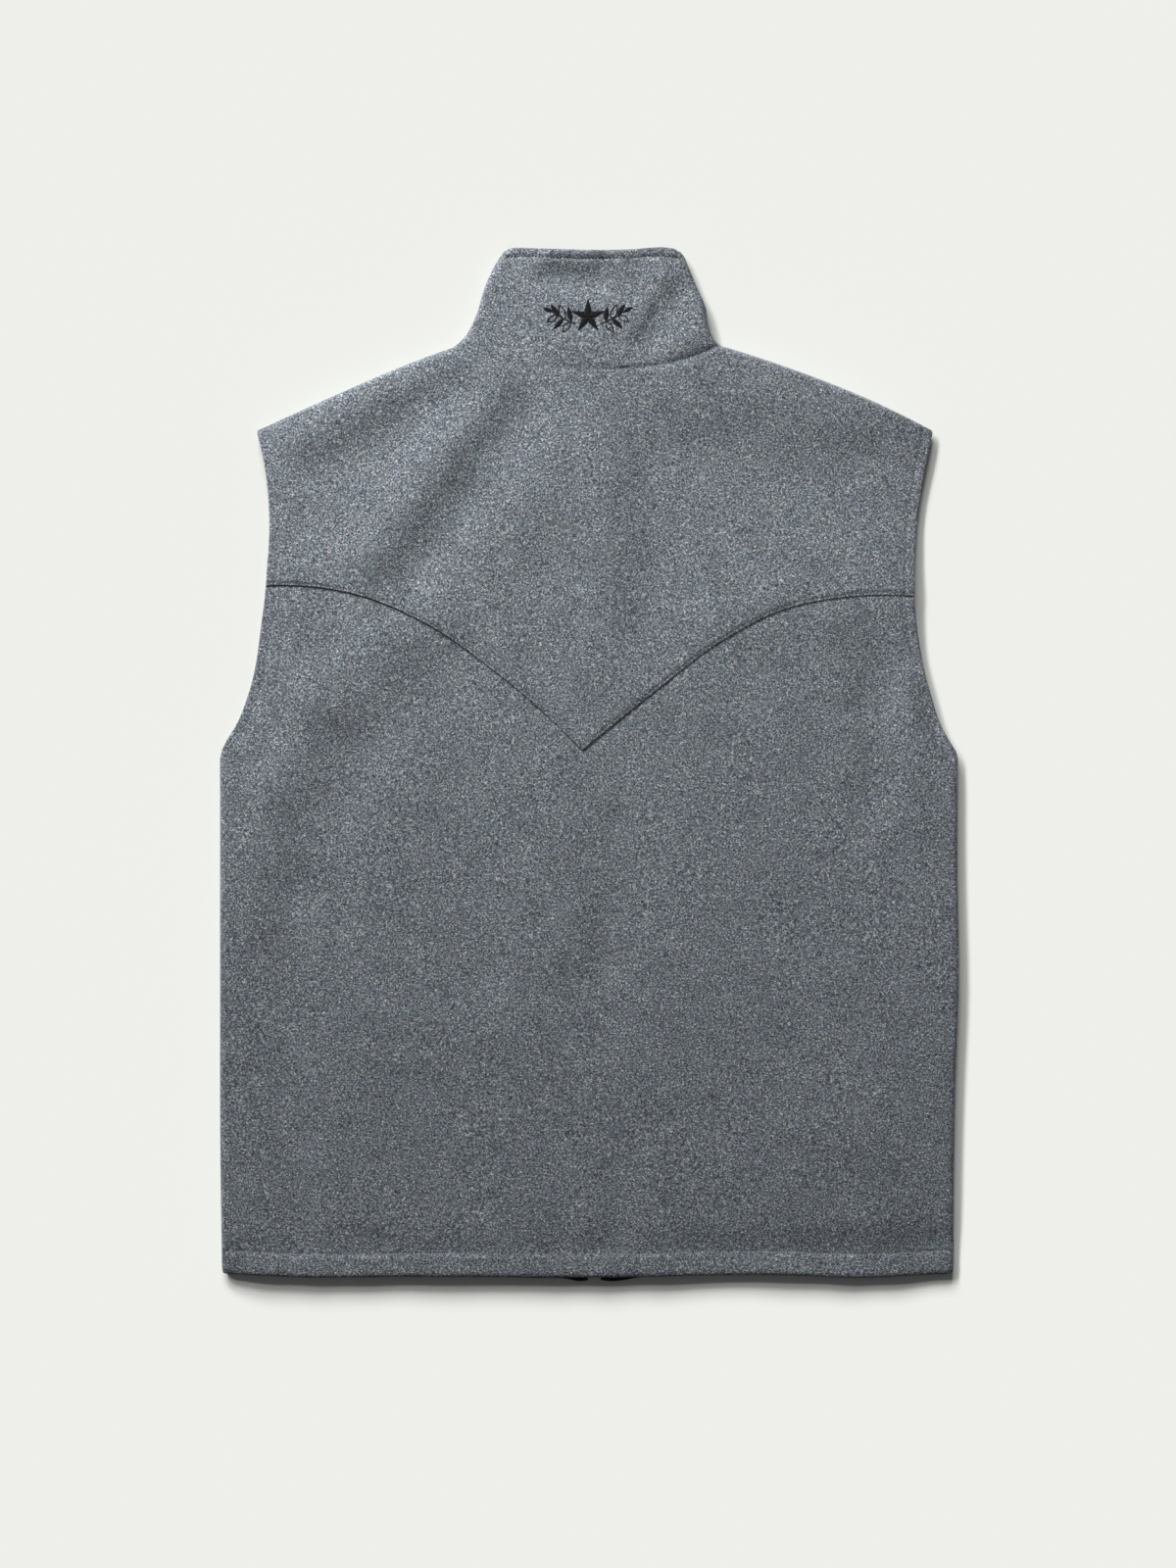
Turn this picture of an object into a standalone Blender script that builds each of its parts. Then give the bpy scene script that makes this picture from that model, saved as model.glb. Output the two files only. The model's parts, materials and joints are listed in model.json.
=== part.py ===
"""Western vest of thick wool cloth with a stand collar, laid flat on a table with its back up.

Blender works in metres, +Z up. The sizes below are in millimetres, and MM turns them into metres.
The vest lies on the plane z = 0 with its collar towards +Y, its hem towards -Y and the wearer's left
at -X. The origin is the middle of the box round the whole vest, on that plane.

The two fronts lie face down on the table. The lower back and the yoke lie on them, and the side
seams, the shoulder seams and the sides of the collar are the folds that join the two layers.
"""
import math
from collections import namedtuple

import bmesh
import bpy
import numpy as np

MM = 0.001
TOUCHING = 1e-6
ON_FOLD = 0.02
COLLECTION = "western_vest"

# Cloth
WALL = 2.8
COLLAR_WALL = 3.6
HEM_EXTRA = 1.2
HEM_DEPTH = 17.0
ARMHOLE_BAND = 7.0
FACING_WALL = 0.8
SEAM_GAP = 0.3
NECK_SEAM_GAP = 0.45

# Heights of the flat vest
TOP_HEIGHT = 9.2
FOLD_HEIGHT = 4.6
FOLD_LIP = 0.4
FOLD_REACH = 6.0
COLLAR_FOLD_REACH = 5.0

# Yoke lap: the lower back runs up under the yoke, whose edge stands proud of it
LAP_DEPTH = 13.0
LAP_GAP = 0.45
LAP_FADE = 20.0

# Outline of the back, centred on the box round the vest
HEM_LEFT = (-271.0, -376.3)
HEM_RIGHT = (269.5, -376.3)
HEM_SAG = 2.4
UNDERARM_HEIGHT = 7.8
UNDERARM_LEFT = (-273.0, UNDERARM_HEIGHT)
UNDERARM_RIGHT = (273.0, UNDERARM_HEIGHT)
CORNER_DIMPLE = 0.25
CORNER_REACH = 14.0

# Centre front, with the zip between the two front edges
CENTRE_FRONT = 4.0
FRONT_EDGE = 6.0
FACING_WIDTH = 66.0
FACING_TOP = 180.0
FRONT_NECK_HEIGHT = 197.0
FRONT_COLLAR_TOP = 272.0
FRONT_HEM_RISE = 0.8

# Armhole of the fronts, which peeps out past the back by this much round this height
FRONT_ARMHOLE_PEEP = 0.9
PEEP_HEIGHT = 95.0
PEEP_REACH = 26.0

# The zip slider lifts the front edges off the table below the collar
LIFT = 2.9
LIFT_START = 180.0
LIFT_END = 232.0
LIFT_NEAR = 22.0
LIFT_FAR = 80.0
BACK_BUMP = 1.1
BUMP_START = 140.0
BUMP_FADE = 285.0
BUMP_END = 340.0
BUMP_FAR = 100.0

# Zip
TAPE_WALL = 0.6
TAPE_INNER = 3.0
TAPE_OUTER = 5.7
CHAIN_HALF_WIDTH = 2.7
CHAIN_WALL = 2.0
CHAIN_BOTTOM = 1.0
ZIP_FOOT = -372.0
BOX_LENGTH = 7.0
SLIDER_PIVOT_Y = 261.0
SLIDER_HALF_LENGTH = 6.0
SLIDER_TOP_HALF_WIDTH = 4.8
SLIDER_FOOT_HALF_WIDTH = 3.9
PLATE_WALL = 0.9
PLATE_GAP = 0.25
BRIDGE_HALF_WIDTH = 1.0
PULL_HEIGHT = 1.85
PULL_WALL = 1.0
PULL_HALF_WIDTH = 3.4
PULL_LENGTH = 26.0
WINDOW_HALF_WIDTH = 1.5
WINDOW_LENGTH = 5.0

Section = namedtuple("Section", "y left right")
ARMHOLES = [
    Section(7.8, -273.0, 273.0),
    Section(18.7, -267.6, 266.1),
    Section(29.5, -261.0, 260.3),
    Section(51.3, -252.3, 253.1),
    Section(73.1, -246.5, 247.3),
    Section(105.0, -241.8, 241.8),
    Section(138.3, -238.6, 240.7),
    Section(181.8, -236.4, 242.9),
    Section(225.3, -240.7, 250.0),
    Section(247.1, -245.8, 254.5),
]

Point = namedtuple("Point", "x y")
SHOULDER_LEFT = [Point(-245.8, 247.1), Point(-196.5, 268.8), Point(-142.1, 292.0), Point(-100.8, 308.7)]
SHOULDER_RIGHT = [Point(254.5, 247.1), Point(211.0, 268.8), Point(153.0, 292.0), Point(97.5, 310.2)]
BACK_NECK = [
    Point(-100.8, 308.7),
    Point(-60.0, 297.5),
    Point(-20.0, 293.0),
    Point(29.7, 292.8),
    Point(66.0, 298.0),
    Point(97.5, 310.2),
]
YOKE_LEFT = [
    Point(-238.6, 132.3),
    Point(-209.2, 131.9),
    Point(-166.4, 124.2),
    Point(-121.8, 105.1),
    Point(-67.4, 67.3),
    Point(-4.9, 10.6),
]
YOKE_RIGHT = [
    Point(-4.9, 10.6),
    Point(51.6, 56.4),
    Point(97.5, 91.0),
    Point(143.2, 114.3),
    Point(190.0, 123.8),
    Point(240.2, 124.5),
]
COLLAR_LEFT = [
    Point(-100.8, 308.7),
    Point(-90.5, 318.5),
    Point(-84.6, 330.0),
    Point(-76.1, 355.9),
    Point(-62.5, 382.0),
]
COLLAR_RIGHT = [
    Point(97.5, 310.2),
    Point(89.8, 320.0),
    Point(88.0, 332.0),
    Point(79.8, 355.9),
    Point(65.5, 382.0),
]
COLLAR_TOP = [Point(-62.5, 382.0), Point(0.0, 380.2), Point(65.5, 382.0)]
NECKLINE_LEFT = [Point(-100.8, 308.7), Point(-82.0, 268.0), Point(-52.0, 227.0), Point(-2.0, 197.0)]
NECKLINE_RIGHT = [Point(97.5, 310.2), Point(84.0, 268.0), Point(56.0, 227.0), Point(10.0, 197.0)]
FRONT_TOP_LEFT = [Point(-62.5, 382.0), Point(-40.0, 330.0), Point(-2.0, 272.0)]
FRONT_TOP_RIGHT = [Point(65.5, 382.0), Point(46.0, 330.0), Point(10.0, 272.0)]
FACING_FOOT_LEFT = [
    Point(-66.7, -378.7),
    Point(-40.0, -379.6),
    Point(-16.0, -380.3),
    Point(-7.0, -382.0),
    Point(-0.7, -381.2),
]
FACING_FOOT_RIGHT = [
    Point(8.7, -381.0),
    Point(14.5, -382.0),
    Point(25.0, -381.3),
    Point(36.0, -379.2),
    Point(74.7, -377.2),
]

Crease = namedtuple("Crease", "x0 y0 x1 y1 width depth")
CREASES = [
    Crease(-44.0, 276.0, -149.0, 138.0, 13.0, -1.2),
    Crease(-80.0, 284.0, -168.0, 160.0, 13.0, 0.9),
    Crease(-38.0, 240.0, -112.0, 135.0, 14.0, 0.9),
    Crease(-95.0, 287.0, -204.0, 225.0, 12.0, -0.7),
    Crease(-130.0, 62.0, -182.0, 26.0, 14.0, -0.9),
    Crease(-182.0, 26.0, -225.0, -122.0, 16.0, -0.9),
    Crease(-225.0, 62.0, -244.0, 0.0, 14.0, 0.8),
    Crease(93.0, 283.0, 210.0, 240.0, 13.0, -0.7),
    Crease(180.0, 68.0, 226.0, 92.0, 14.0, -0.8),
    Crease(224.0, 50.0, 224.0, -28.0, 15.0, 0.8),
    Crease(10.0, -50.0, 10.0, -135.0, 14.0, -0.6),
    Crease(70.0, 306.0, 91.0, 311.0, 5.0, -0.7),
]

# Grid steps across the folded edges, in degrees round the fold, and the counts of plain steps
FOLD_ANGLES = (0.0, 25.0, 47.0, 69.0, 90.0)
BACK_COLUMNS = 22
BACK_ROWS = 13
FRONT_COLUMNS = 9
FRONT_ROWS = 12
NECK_COLUMNS = 10
SHOULDER_COLUMNS = 7
YOKE_ROWS = 12
NECKLINE_STEPS = np.array([0.0, 0.015, 0.04, 0.07, 0.16, 0.28, 0.4, 0.52, 0.64, 0.76, 0.88, 1.0])


def smooth_line(points, share):
    """A smooth line through the points: a cubic in each stretch, with the share of the length as input."""
    points = np.array(points, float)
    share = np.asarray(share, float)
    length = np.concatenate([[0.0], np.cumsum(np.hypot(*np.diff(points, axis=0).T))])
    knots = length / length[-1]
    slopes = np.gradient(points, knots, axis=0, edge_order=min(2, len(points) - 1))
    stretch = np.clip(np.searchsorted(knots, share, side="right") - 1, 0, len(knots) - 2)
    span = (knots[stretch + 1] - knots[stretch])[..., None]
    t = (share[..., None] - knots[stretch][..., None]) / span
    start = points[stretch] * (2 * t**3 - 3 * t**2 + 1) + slopes[stretch] * span * (t**3 - 2 * t**2 + t)
    end = points[stretch + 1] * (3 * t**2 - 2 * t**3) + slopes[stretch + 1] * span * (t**3 - t**2)
    return start + end


def smooth_step(value, low, high):
    """0 below low, 1 above high, and a soft S between them."""
    t = np.clip((value - low) / (high - low), 0.0, 1.0)
    return t * t * (3.0 - 2.0 * t)


def armhole(height, side):
    """The x of the armhole edge at a height, on the left or the right."""
    heights = [section.y for section in ARMHOLES]
    places = [getattr(section, side) for section in ARMHOLES]
    slopes = np.gradient(places, heights)
    height = np.clip(height, heights[0], heights[-1])
    stretch = np.clip(np.searchsorted(heights, height, side="right") - 1, 0, len(heights) - 2)
    heights, places = np.array(heights), np.array(places)
    span = heights[stretch + 1] - heights[stretch]
    t = (height - heights[stretch]) / span
    start = places[stretch] * (2 * t**3 - 3 * t**2 + 1) + slopes[stretch] * span * (t**3 - 2 * t**2 + t)
    end = places[stretch + 1] * (3 * t**2 - 2 * t**3) + slopes[stretch + 1] * span * (t**3 - t**2)
    return start + end


def side_edge(share, side, foot, top_height, underarm_share):
    """The edge of a panel from its hem corner up the side seam and the armhole to a height."""
    share = np.asarray(share, float)
    underarm = UNDERARM_LEFT if side == "left" else UNDERARM_RIGHT
    below = np.clip(share / underarm_share, 0.0, 1.0)
    above = np.clip((share - underarm_share) / (1.0 - underarm_share), 0.0, 1.0)
    y = foot[1] + (underarm[1] - foot[1]) * below + (top_height - underarm[1]) * above
    seam = foot[0] + (underarm[0] - foot[0]) * below
    x = np.where(share < underarm_share, seam, armhole(y, side))
    return np.stack([x, y], axis=-1)


def patch(bottom, top, left, right, u, v):
    """A panel spread between its four edges: the sum of both rulings less the ruling of its corners."""
    u, v = u[None, :, None], v[:, None, None]
    ruled_up = bottom[None] * (1 - v) + top[None] * v
    ruled_across = left[:, None] * (1 - u) + right[:, None] * u
    corners = (bottom[0] * (1 - u) + bottom[-1] * u) * (1 - v) + (top[0] * (1 - u) + top[-1] * u) * v
    return ruled_up + ruled_across - corners


def nearest_on_paths(place, paths):
    """Distance from each place to the nearest path, and the flat direction away from it."""
    best = np.full(place.shape[:-1], 1e9)
    away = np.zeros_like(place)
    for path in paths:
        for start, end in zip(path[:-1], path[1:]):
            along = end - start
            t = np.clip(((place - start) @ along) / (along @ along), 0.0, 1.0)
            offset = place - (start + t[..., None] * along)
            distance = np.hypot(offset[..., 0], offset[..., 1])
            across = np.array([along[1], -along[0]]) / math.hypot(*along)
            steady = np.maximum(distance, TOUCHING)[..., None]
            unit = np.where(distance[..., None] > TOUCHING, offset / steady, across)
            closer = distance < best - 1e-9
            best = np.where(closer, distance, best)
            away = np.where(closer[..., None], unit, away)
    return best, away


def path_of(points, steps=12):
    """Places along a smooth line, for measuring distances."""
    return smooth_line(points, np.linspace(0.0, 1.0, steps))


# The folded edges, each with the vest on its right hand
SIDE_PATHS = [
    np.array([HEM_LEFT, UNDERARM_LEFT]),
    np.array([UNDERARM_RIGHT, HEM_RIGHT]),
]
SHOULDER_PATHS = [path_of(SHOULDER_LEFT), path_of(SHOULDER_RIGHT)[::-1]]
BODY_FOLDS = SIDE_PATHS + SHOULDER_PATHS
COLLAR_FOLDS = [path_of(COLLAR_LEFT), path_of(COLLAR_RIGHT)[::-1]]
YOKE_PATH = np.concatenate([path_of(YOKE_LEFT), path_of(YOKE_RIGHT)[1:]])
CORNERS = np.array([UNDERARM_LEFT, UNDERARM_RIGHT, SHOULDER_LEFT[0], SHOULDER_RIGHT[0]])


def fold_angle(distance, reach):
    """Angle round a fold whose section is a quarter of an ellipse: 0 on the edge, 90 degrees where flat."""
    return np.arccos(np.clip(1.0 - distance / reach, 0.0, 1.0))


def corner_softness(place):
    """The cloth is pinched a little where an armhole meets a seam."""
    gap = np.min(np.linalg.norm(place[..., None, :] - CORNERS, axis=-1), axis=-1)
    return 1.0 - CORNER_DIMPLE * np.exp(-((gap / CORNER_REACH) ** 2)), gap


def crease_height(place):
    """Soft ridges and troughs: a bell across each crease, rounded off at its ends."""
    height = np.zeros(place.shape[:-1])
    for crease in CREASES:
        line = np.array([(crease.x0, crease.y0), (crease.x1, crease.y1)])
        distance, _ = nearest_on_paths(place, [line])
        height += crease.depth * np.exp(-0.5 * (distance / crease.width) ** 2)
    return height


def zip_lift(place):
    """How far the slider lifts the front layer off the table, near the top of the centre front."""
    up = smooth_step(place[..., 1], LIFT_START, LIFT_END)
    near = 1.0 - smooth_step(np.abs(place[..., 0] - CENTRE_FRONT), LIFT_NEAR, LIFT_FAR)
    return LIFT * up * near


def back_top(place):
    """Height of the back layer's outer face away from the folded edges."""
    y = place[..., 1]
    up = smooth_step(y, BUMP_START, LIFT_END) * (1.0 - smooth_step(y, BUMP_FADE, BUMP_END))
    near = 1.0 - smooth_step(np.abs(place[..., 0] - CENTRE_FRONT), LIFT_NEAR, BUMP_FAR)
    return TOP_HEIGHT + BACK_BUMP * up * near + crease_height(place)


def back_layer(place, wall):
    """Outer face and inward wall of the back layer: it rises from the fold height to its own height."""
    distance, away = nearest_on_paths(place, BODY_FOLDS)
    angle = fold_angle(distance, FOLD_REACH)
    soft, _ = corner_softness(place)
    base = FOLD_HEIGHT + SEAM_GAP / 2 + FOLD_LIP
    z = base + (back_top(place) - base) * np.sin(angle) * soft
    return np.dstack([place, z]), inward_wall(wall, angle, away, -1.0)


def front_layer(place, wall):
    """Outer face and inward wall of the front layer: flat on the table, and up to the folds round it."""
    distance, away = nearest_on_paths(place, BODY_FOLDS)
    angle = fold_angle(distance, FOLD_REACH)
    soft, _ = corner_softness(place)
    base = FOLD_HEIGHT - SEAM_GAP / 2 - FOLD_LIP
    z = base + (zip_lift(place) - base) * np.sin(angle) * soft
    return np.dstack([place, z]), inward_wall(wall, angle, away, 1.0)


def inward_wall(wall, angle, away, up):
    """The step from the outer to the inner face: sideways on the edge of a fold, straight where flat."""
    flat_step = away * (wall * np.cos(angle))[..., None]
    return np.dstack([flat_step, up * wall * np.sin(angle)])


def band_extra(place, edge_distance, extra, depth):
    """Extra wall of a turned edge, which ends sharply at its stitching and thins out at a fold."""
    distance, _ = nearest_on_paths(place, BODY_FOLDS)
    _, corner_gap = corner_softness(place)
    flat = np.sin(fold_angle(distance, FOLD_REACH)) ** 4
    clear = smooth_step(corner_gap, 18.0, 40.0)
    return np.where(edge_distance < depth, extra, 0.0) * flat * clear


def fold_steps(width, reach):
    """Shares of a width at which the grid has lines round a fold on its near edge."""
    return [reach * (1.0 - math.cos(math.radians(angle))) / width for angle in FOLD_ANGLES]


def join_steps(*groups):
    """All the shares in rising order, without doubles."""
    return np.unique(np.round(np.concatenate([np.atleast_1d(group) for group in groups]), 6))


def cloth_wall(name, outer, inward, material, lip=None):
    """A cloth wall lofted from its outer face to its inner face.

    The outer face is a grid of places. A lip carries the grid's folded edges straight on to the seam.
    The copy that closes the wall is the same sheet, each place moved along its own inward step.
    """
    rows, columns = outer.shape[:2]
    bm = bmesh.new()
    bmesh.ops.create_grid(bm, x_segments=columns - 1, y_segments=rows - 1, size=1.0)
    step = bm.verts.layers.float_vector.new("inward")
    for vert in bm.verts:
        column = round((vert.co.x + 1.0) / 2.0 * (columns - 1))
        row = round((vert.co.y + 1.0) / 2.0 * (rows - 1))
        vert.co = outer[row, column] * MM
        vert[step] = inward[row, column] * MM
    if lip is not None:
        edges = [edge for edge in bm.edges if edge.is_boundary and all(on_fold(v.co) for v in edge.verts)]
        seam = bmesh.ops.extrude_edge_only(bm, edges=edges)["geom"]
        for vert in (item for item in seam if isinstance(item, bmesh.types.BMVert)):
            vert.co.z += lip * MM
    sheet = bmesh.ops.extrude_face_region(bm, geom=bm.faces[:], use_keep_orig=True)["geom"]
    for vert in (item for item in sheet if isinstance(item, bmesh.types.BMVert)):
        vert.co += vert[step]
    bmesh.ops.recalc_face_normals(bm, faces=bm.faces[:])
    return finish_mesh(name, bm, material)


def on_fold(co):
    """Whether a place of the outer face lies on a folded edge."""
    distance, _ = nearest_on_paths(np.array([[co.x / MM, co.y / MM]]), BODY_FOLDS)
    return distance[0] < ON_FOLD


def finish_mesh(name, bm, material):
    """Put a finished body in the vest's collection."""
    mesh = bpy.data.meshes.new(name)
    bm.to_mesh(mesh)
    bm.free()
    mesh.shade_smooth()
    mesh.set_sharp_from_angle(angle=math.radians(40.0))
    mesh.materials.append(material)
    body = bpy.data.objects.new(name, mesh)
    bpy.data.collections[COLLECTION].objects.link(body)
    return body


def hem_line(left, right, sag, share):
    """The hem: a shallow arc that hangs lowest in the middle."""
    share = np.asarray(share, float)
    x = left[0] + (right[0] - left[0]) * share
    y = left[1] + (right[1] - left[1]) * share - sag * 4.0 * share * (1.0 - share)
    return np.stack([x, y], axis=-1)


def yoke_line(share, rise=0.0):
    """The pointed yoke edge from left to right, or its lap line a little higher up."""
    x_left, x_tip, x_right = YOKE_LEFT[0].x, YOKE_LEFT[-1].x, YOKE_RIGHT[-1].x
    x = x_left + (x_right - x_left) * share
    dense_left = smooth_line(YOKE_LEFT, np.linspace(0.0, 1.0, 200))
    dense_right = smooth_line(YOKE_RIGHT, np.linspace(0.0, 1.0, 200))
    y = np.where(
        x < x_tip,
        np.interp(x, dense_left[:, 0], dense_left[:, 1]),
        np.interp(x, dense_right[:, 0], dense_right[:, 1]),
    )
    return np.stack([x, y + rise], axis=-1)


def yoke_tip_share():
    """Where the point of the yoke lies along its edge."""
    return (YOKE_LEFT[-1].x - YOKE_LEFT[0].x) / (YOKE_RIGHT[-1].x - YOKE_LEFT[0].x)


def make_back_panel(material):
    """The lower back: from the turned hem up the sides and armholes, and on under the yoke."""
    underarm_share = 0.74
    width = HEM_RIGHT[0] - HEM_LEFT[0]
    near_edge = fold_steps(width, FOLD_REACH)
    band = [ARMHOLE_BAND / width, (ARMHOLE_BAND + 0.6) / width]
    edge_steps = np.array(near_edge + band)
    u = join_steps(edge_steps, 1.0 - edge_steps, np.linspace(0.03, 0.97, BACK_COLUMNS), yoke_tip_share())
    below = UNDERARM_HEIGHT - HEM_LEFT[1]
    hem_steps = np.array([0.0, HEM_DEPTH - 0.5, HEM_DEPTH + 0.5]) / below * underarm_share
    v = join_steps(
        hem_steps,
        np.linspace(0.09, underarm_share, BACK_ROWS),
        underarm_share + np.array([0.012, 0.035, 0.07, 0.12, 0.17, 0.21]),
        [0.97, 1.0],
    )
    top = yoke_line(u, LAP_DEPTH)
    top[0, 0] = armhole(top[0, 1], "left")
    top[-1, 0] = armhole(top[-1, 1], "right")
    bottom = hem_line(HEM_LEFT, HEM_RIGHT, HEM_SAG, u)
    left = side_edge(v, "left", HEM_LEFT, top[0, 1], underarm_share)
    right = side_edge(v, "right", HEM_RIGHT, top[-1, 1], underarm_share)
    place = patch(bottom, top, left, right, u, v)
    wall = WALL + turned_edges(place, u, v, bottom, width)
    outer, inward = back_layer(place, wall)
    return cloth_wall("back_panel", outer, inward, material, lip=-FOLD_LIP)


def turned_edges(place, u, v, bottom, width):
    """Extra wall along the turned hem and the turned armholes of the back."""
    from_hem = place[..., 1] - bottom[None, :, 1]
    hem = band_extra(place, from_hem, HEM_EXTRA, HEM_DEPTH)
    from_side = np.minimum(u, 1.0 - u)[None, :] * width + 0.0 * v[:, None]
    armholes = band_extra(place, from_side, HEM_EXTRA, ARMHOLE_BAND + 0.1)
    under_yoke, _ = nearest_on_paths(place, [YOKE_PATH])
    armholes *= smooth_step(place[..., 1], UNDERARM_HEIGHT, UNDERARM_HEIGHT + 10.0)
    armholes *= smooth_step(under_yoke, LAP_DEPTH + 4.0, LAP_DEPTH + LAP_FADE)
    return np.maximum(hem, armholes)


def make_back_yoke(material):
    """The yoke: from its pointed edge, which laps over the lower back, up to the shoulders and the neck."""
    neck_left, neck_right = 0.30, 0.705
    width = YOKE_RIGHT[-1].x - YOKE_LEFT[0].x
    band = np.array([0.0, ARMHOLE_BAND, ARMHOLE_BAND + 0.6]) / width
    neck = neck_left + (neck_right - neck_left) * neck_shares()
    u = join_steps(
        band,
        1.0 - band,
        np.linspace(0.04, neck_left, SHOULDER_COLUMNS),
        neck,
        np.linspace(neck_right, 0.96, SHOULDER_COLUMNS),
        yoke_tip_share(),
    )
    tip_height = SHOULDER_LEFT[0].y - YOKE_LEFT[0].y
    near_top = 1.0 - np.array(fold_steps(tip_height, FOLD_REACH))
    v = join_steps([0.0, 0.03, 0.06, 0.09], np.linspace(0.13, 0.92, YOKE_ROWS), near_top)
    shoulder_left = smooth_line(SHOULDER_LEFT, np.clip(u / neck_left, 0.0, 1.0))
    shoulder_right = smooth_line(SHOULDER_RIGHT, np.clip((1.0 - u) / (1.0 - neck_right), 0.0, 1.0))
    neck_edge = smooth_line(BACK_NECK, np.clip((u - neck_left) / (neck_right - neck_left), 0.0, 1.0))
    top = np.where((u < neck_left)[:, None], shoulder_left, neck_edge)
    top = np.where((u > neck_right)[:, None], shoulder_right, top)
    bottom = yoke_line(u)
    left = armhole_edge("left", bottom[0], top[0], v)
    right = armhole_edge("right", bottom[-1], top[-1], v)
    place = patch(bottom, top, left, right, u, v)
    from_edge, _ = nearest_on_paths(place, [YOKE_PATH])
    lap = 1.0 - smooth_step(from_edge, LAP_DEPTH + 2.0, LAP_DEPTH + 2.0 + LAP_FADE)
    from_side = np.minimum(u, 1.0 - u)[None, :] * width + 0.0 * v[:, None]
    extra = band_extra(place, from_side, HEM_EXTRA, ARMHOLE_BAND + 0.1) * (1.0 - smooth_step(lap, 0.0, 0.05))
    outer, inward = back_layer(place, WALL + extra)
    outer[..., 2] += lap * (WALL + LAP_GAP)
    return cloth_wall("back_yoke", outer, inward, material, lip=-FOLD_LIP)


def armhole_edge(side, foot, head, v):
    """Places up an armhole from one height to another."""
    y = foot[1] + (head[1] - foot[1]) * v
    edge = np.stack([armhole(y, side), y], axis=-1)
    edge[0], edge[-1] = foot, head
    return edge


def neck_shares():
    """Shares along the back neck, close together where the neck seam reaches a fold."""
    near = np.array([0.0, 0.008, 0.02, 0.034])
    return join_steps(near, 1.0 - near, np.linspace(0.08, 0.92, NECK_COLUMNS))


def make_front(side, material):
    """One front: hem, side, armhole, shoulder, neckline and centre-front edge."""
    left_hand = side == "left"
    sign = -1.0 if left_hand else 1.0
    shoulder = SHOULDER_LEFT if left_hand else SHOULDER_RIGHT
    neckline = NECKLINE_LEFT if left_hand else NECKLINE_RIGHT
    foot = HEM_LEFT if left_hand else HEM_RIGHT
    neck_share, underarm_share = 0.55, 0.60
    centre_foot = (CENTRE_FRONT + sign * FRONT_EDGE, foot[1] - HEM_SAG + FRONT_HEM_RISE)
    width = abs(centre_foot[0] - foot[0])
    u = join_steps(
        fold_steps(width, FOLD_REACH),
        np.linspace(0.05, neck_share, FRONT_COLUMNS),
        neck_share + (1.0 - neck_share) * NECKLINE_STEPS,
    )
    below = UNDERARM_HEIGHT - foot[1]
    side_height = shoulder[0].y - UNDERARM_HEIGHT
    near_top = 1.0 - np.array(fold_steps(side_height, FOLD_REACH)) * (1.0 - underarm_share)
    v = join_steps(
        np.array([0.0, HEM_DEPTH - 0.5, HEM_DEPTH + 0.5]) / below * underarm_share,
        np.linspace(0.12, underarm_share, FRONT_ROWS // 2),
        underarm_share + np.array([0.012, 0.03]),
        np.linspace(underarm_share + 0.06, 0.955, FRONT_ROWS),
        near_top,
    )
    share_top = np.clip(u / neck_share, 0.0, 1.0)
    share_neck = np.clip((u - neck_share) / (1.0 - neck_share), 0.0, 1.0)
    on_shoulder = (u <= neck_share)[:, None]
    top = np.where(on_shoulder, smooth_line(shoulder, share_top), smooth_line(neckline, share_neck))
    corner = np.array(foot)
    bottom = corner + (np.array(centre_foot) - corner) * u[:, None]
    edge = side_edge(v, side, foot, shoulder[0].y, underarm_share)
    peep = FRONT_ARMHOLE_PEEP * np.exp(-0.5 * ((edge[:, 1] - PEEP_HEIGHT) / PEEP_REACH) ** 2)
    edge[:, 0] += sign * peep * smooth_step(edge[:, 1], UNDERARM_HEIGHT + 2.0, UNDERARM_HEIGHT + 20.0)
    edge[-1] = shoulder[0]
    centre_y = centre_foot[1] + (top[-1, 1] - centre_foot[1]) * v
    centre = np.stack([np.full_like(v, centre_foot[0]), centre_y], axis=-1)
    place = patch(bottom, top, edge, centre, u, v)
    from_hem = place[..., 1] - bottom[None, :, 1]
    from_centre = np.abs(place[..., 0] - CENTRE_FRONT)
    plain = smooth_step(from_centre, FACING_WIDTH + 28.0, FACING_WIDTH + 36.0)
    wall = WALL + band_extra(place, from_hem, 0.75 * HEM_EXTRA, HEM_DEPTH) * plain
    outer, inward = front_layer(place, wall)
    return cloth_wall(f"front_{side}", outer, inward, material, lip=FOLD_LIP)


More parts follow.
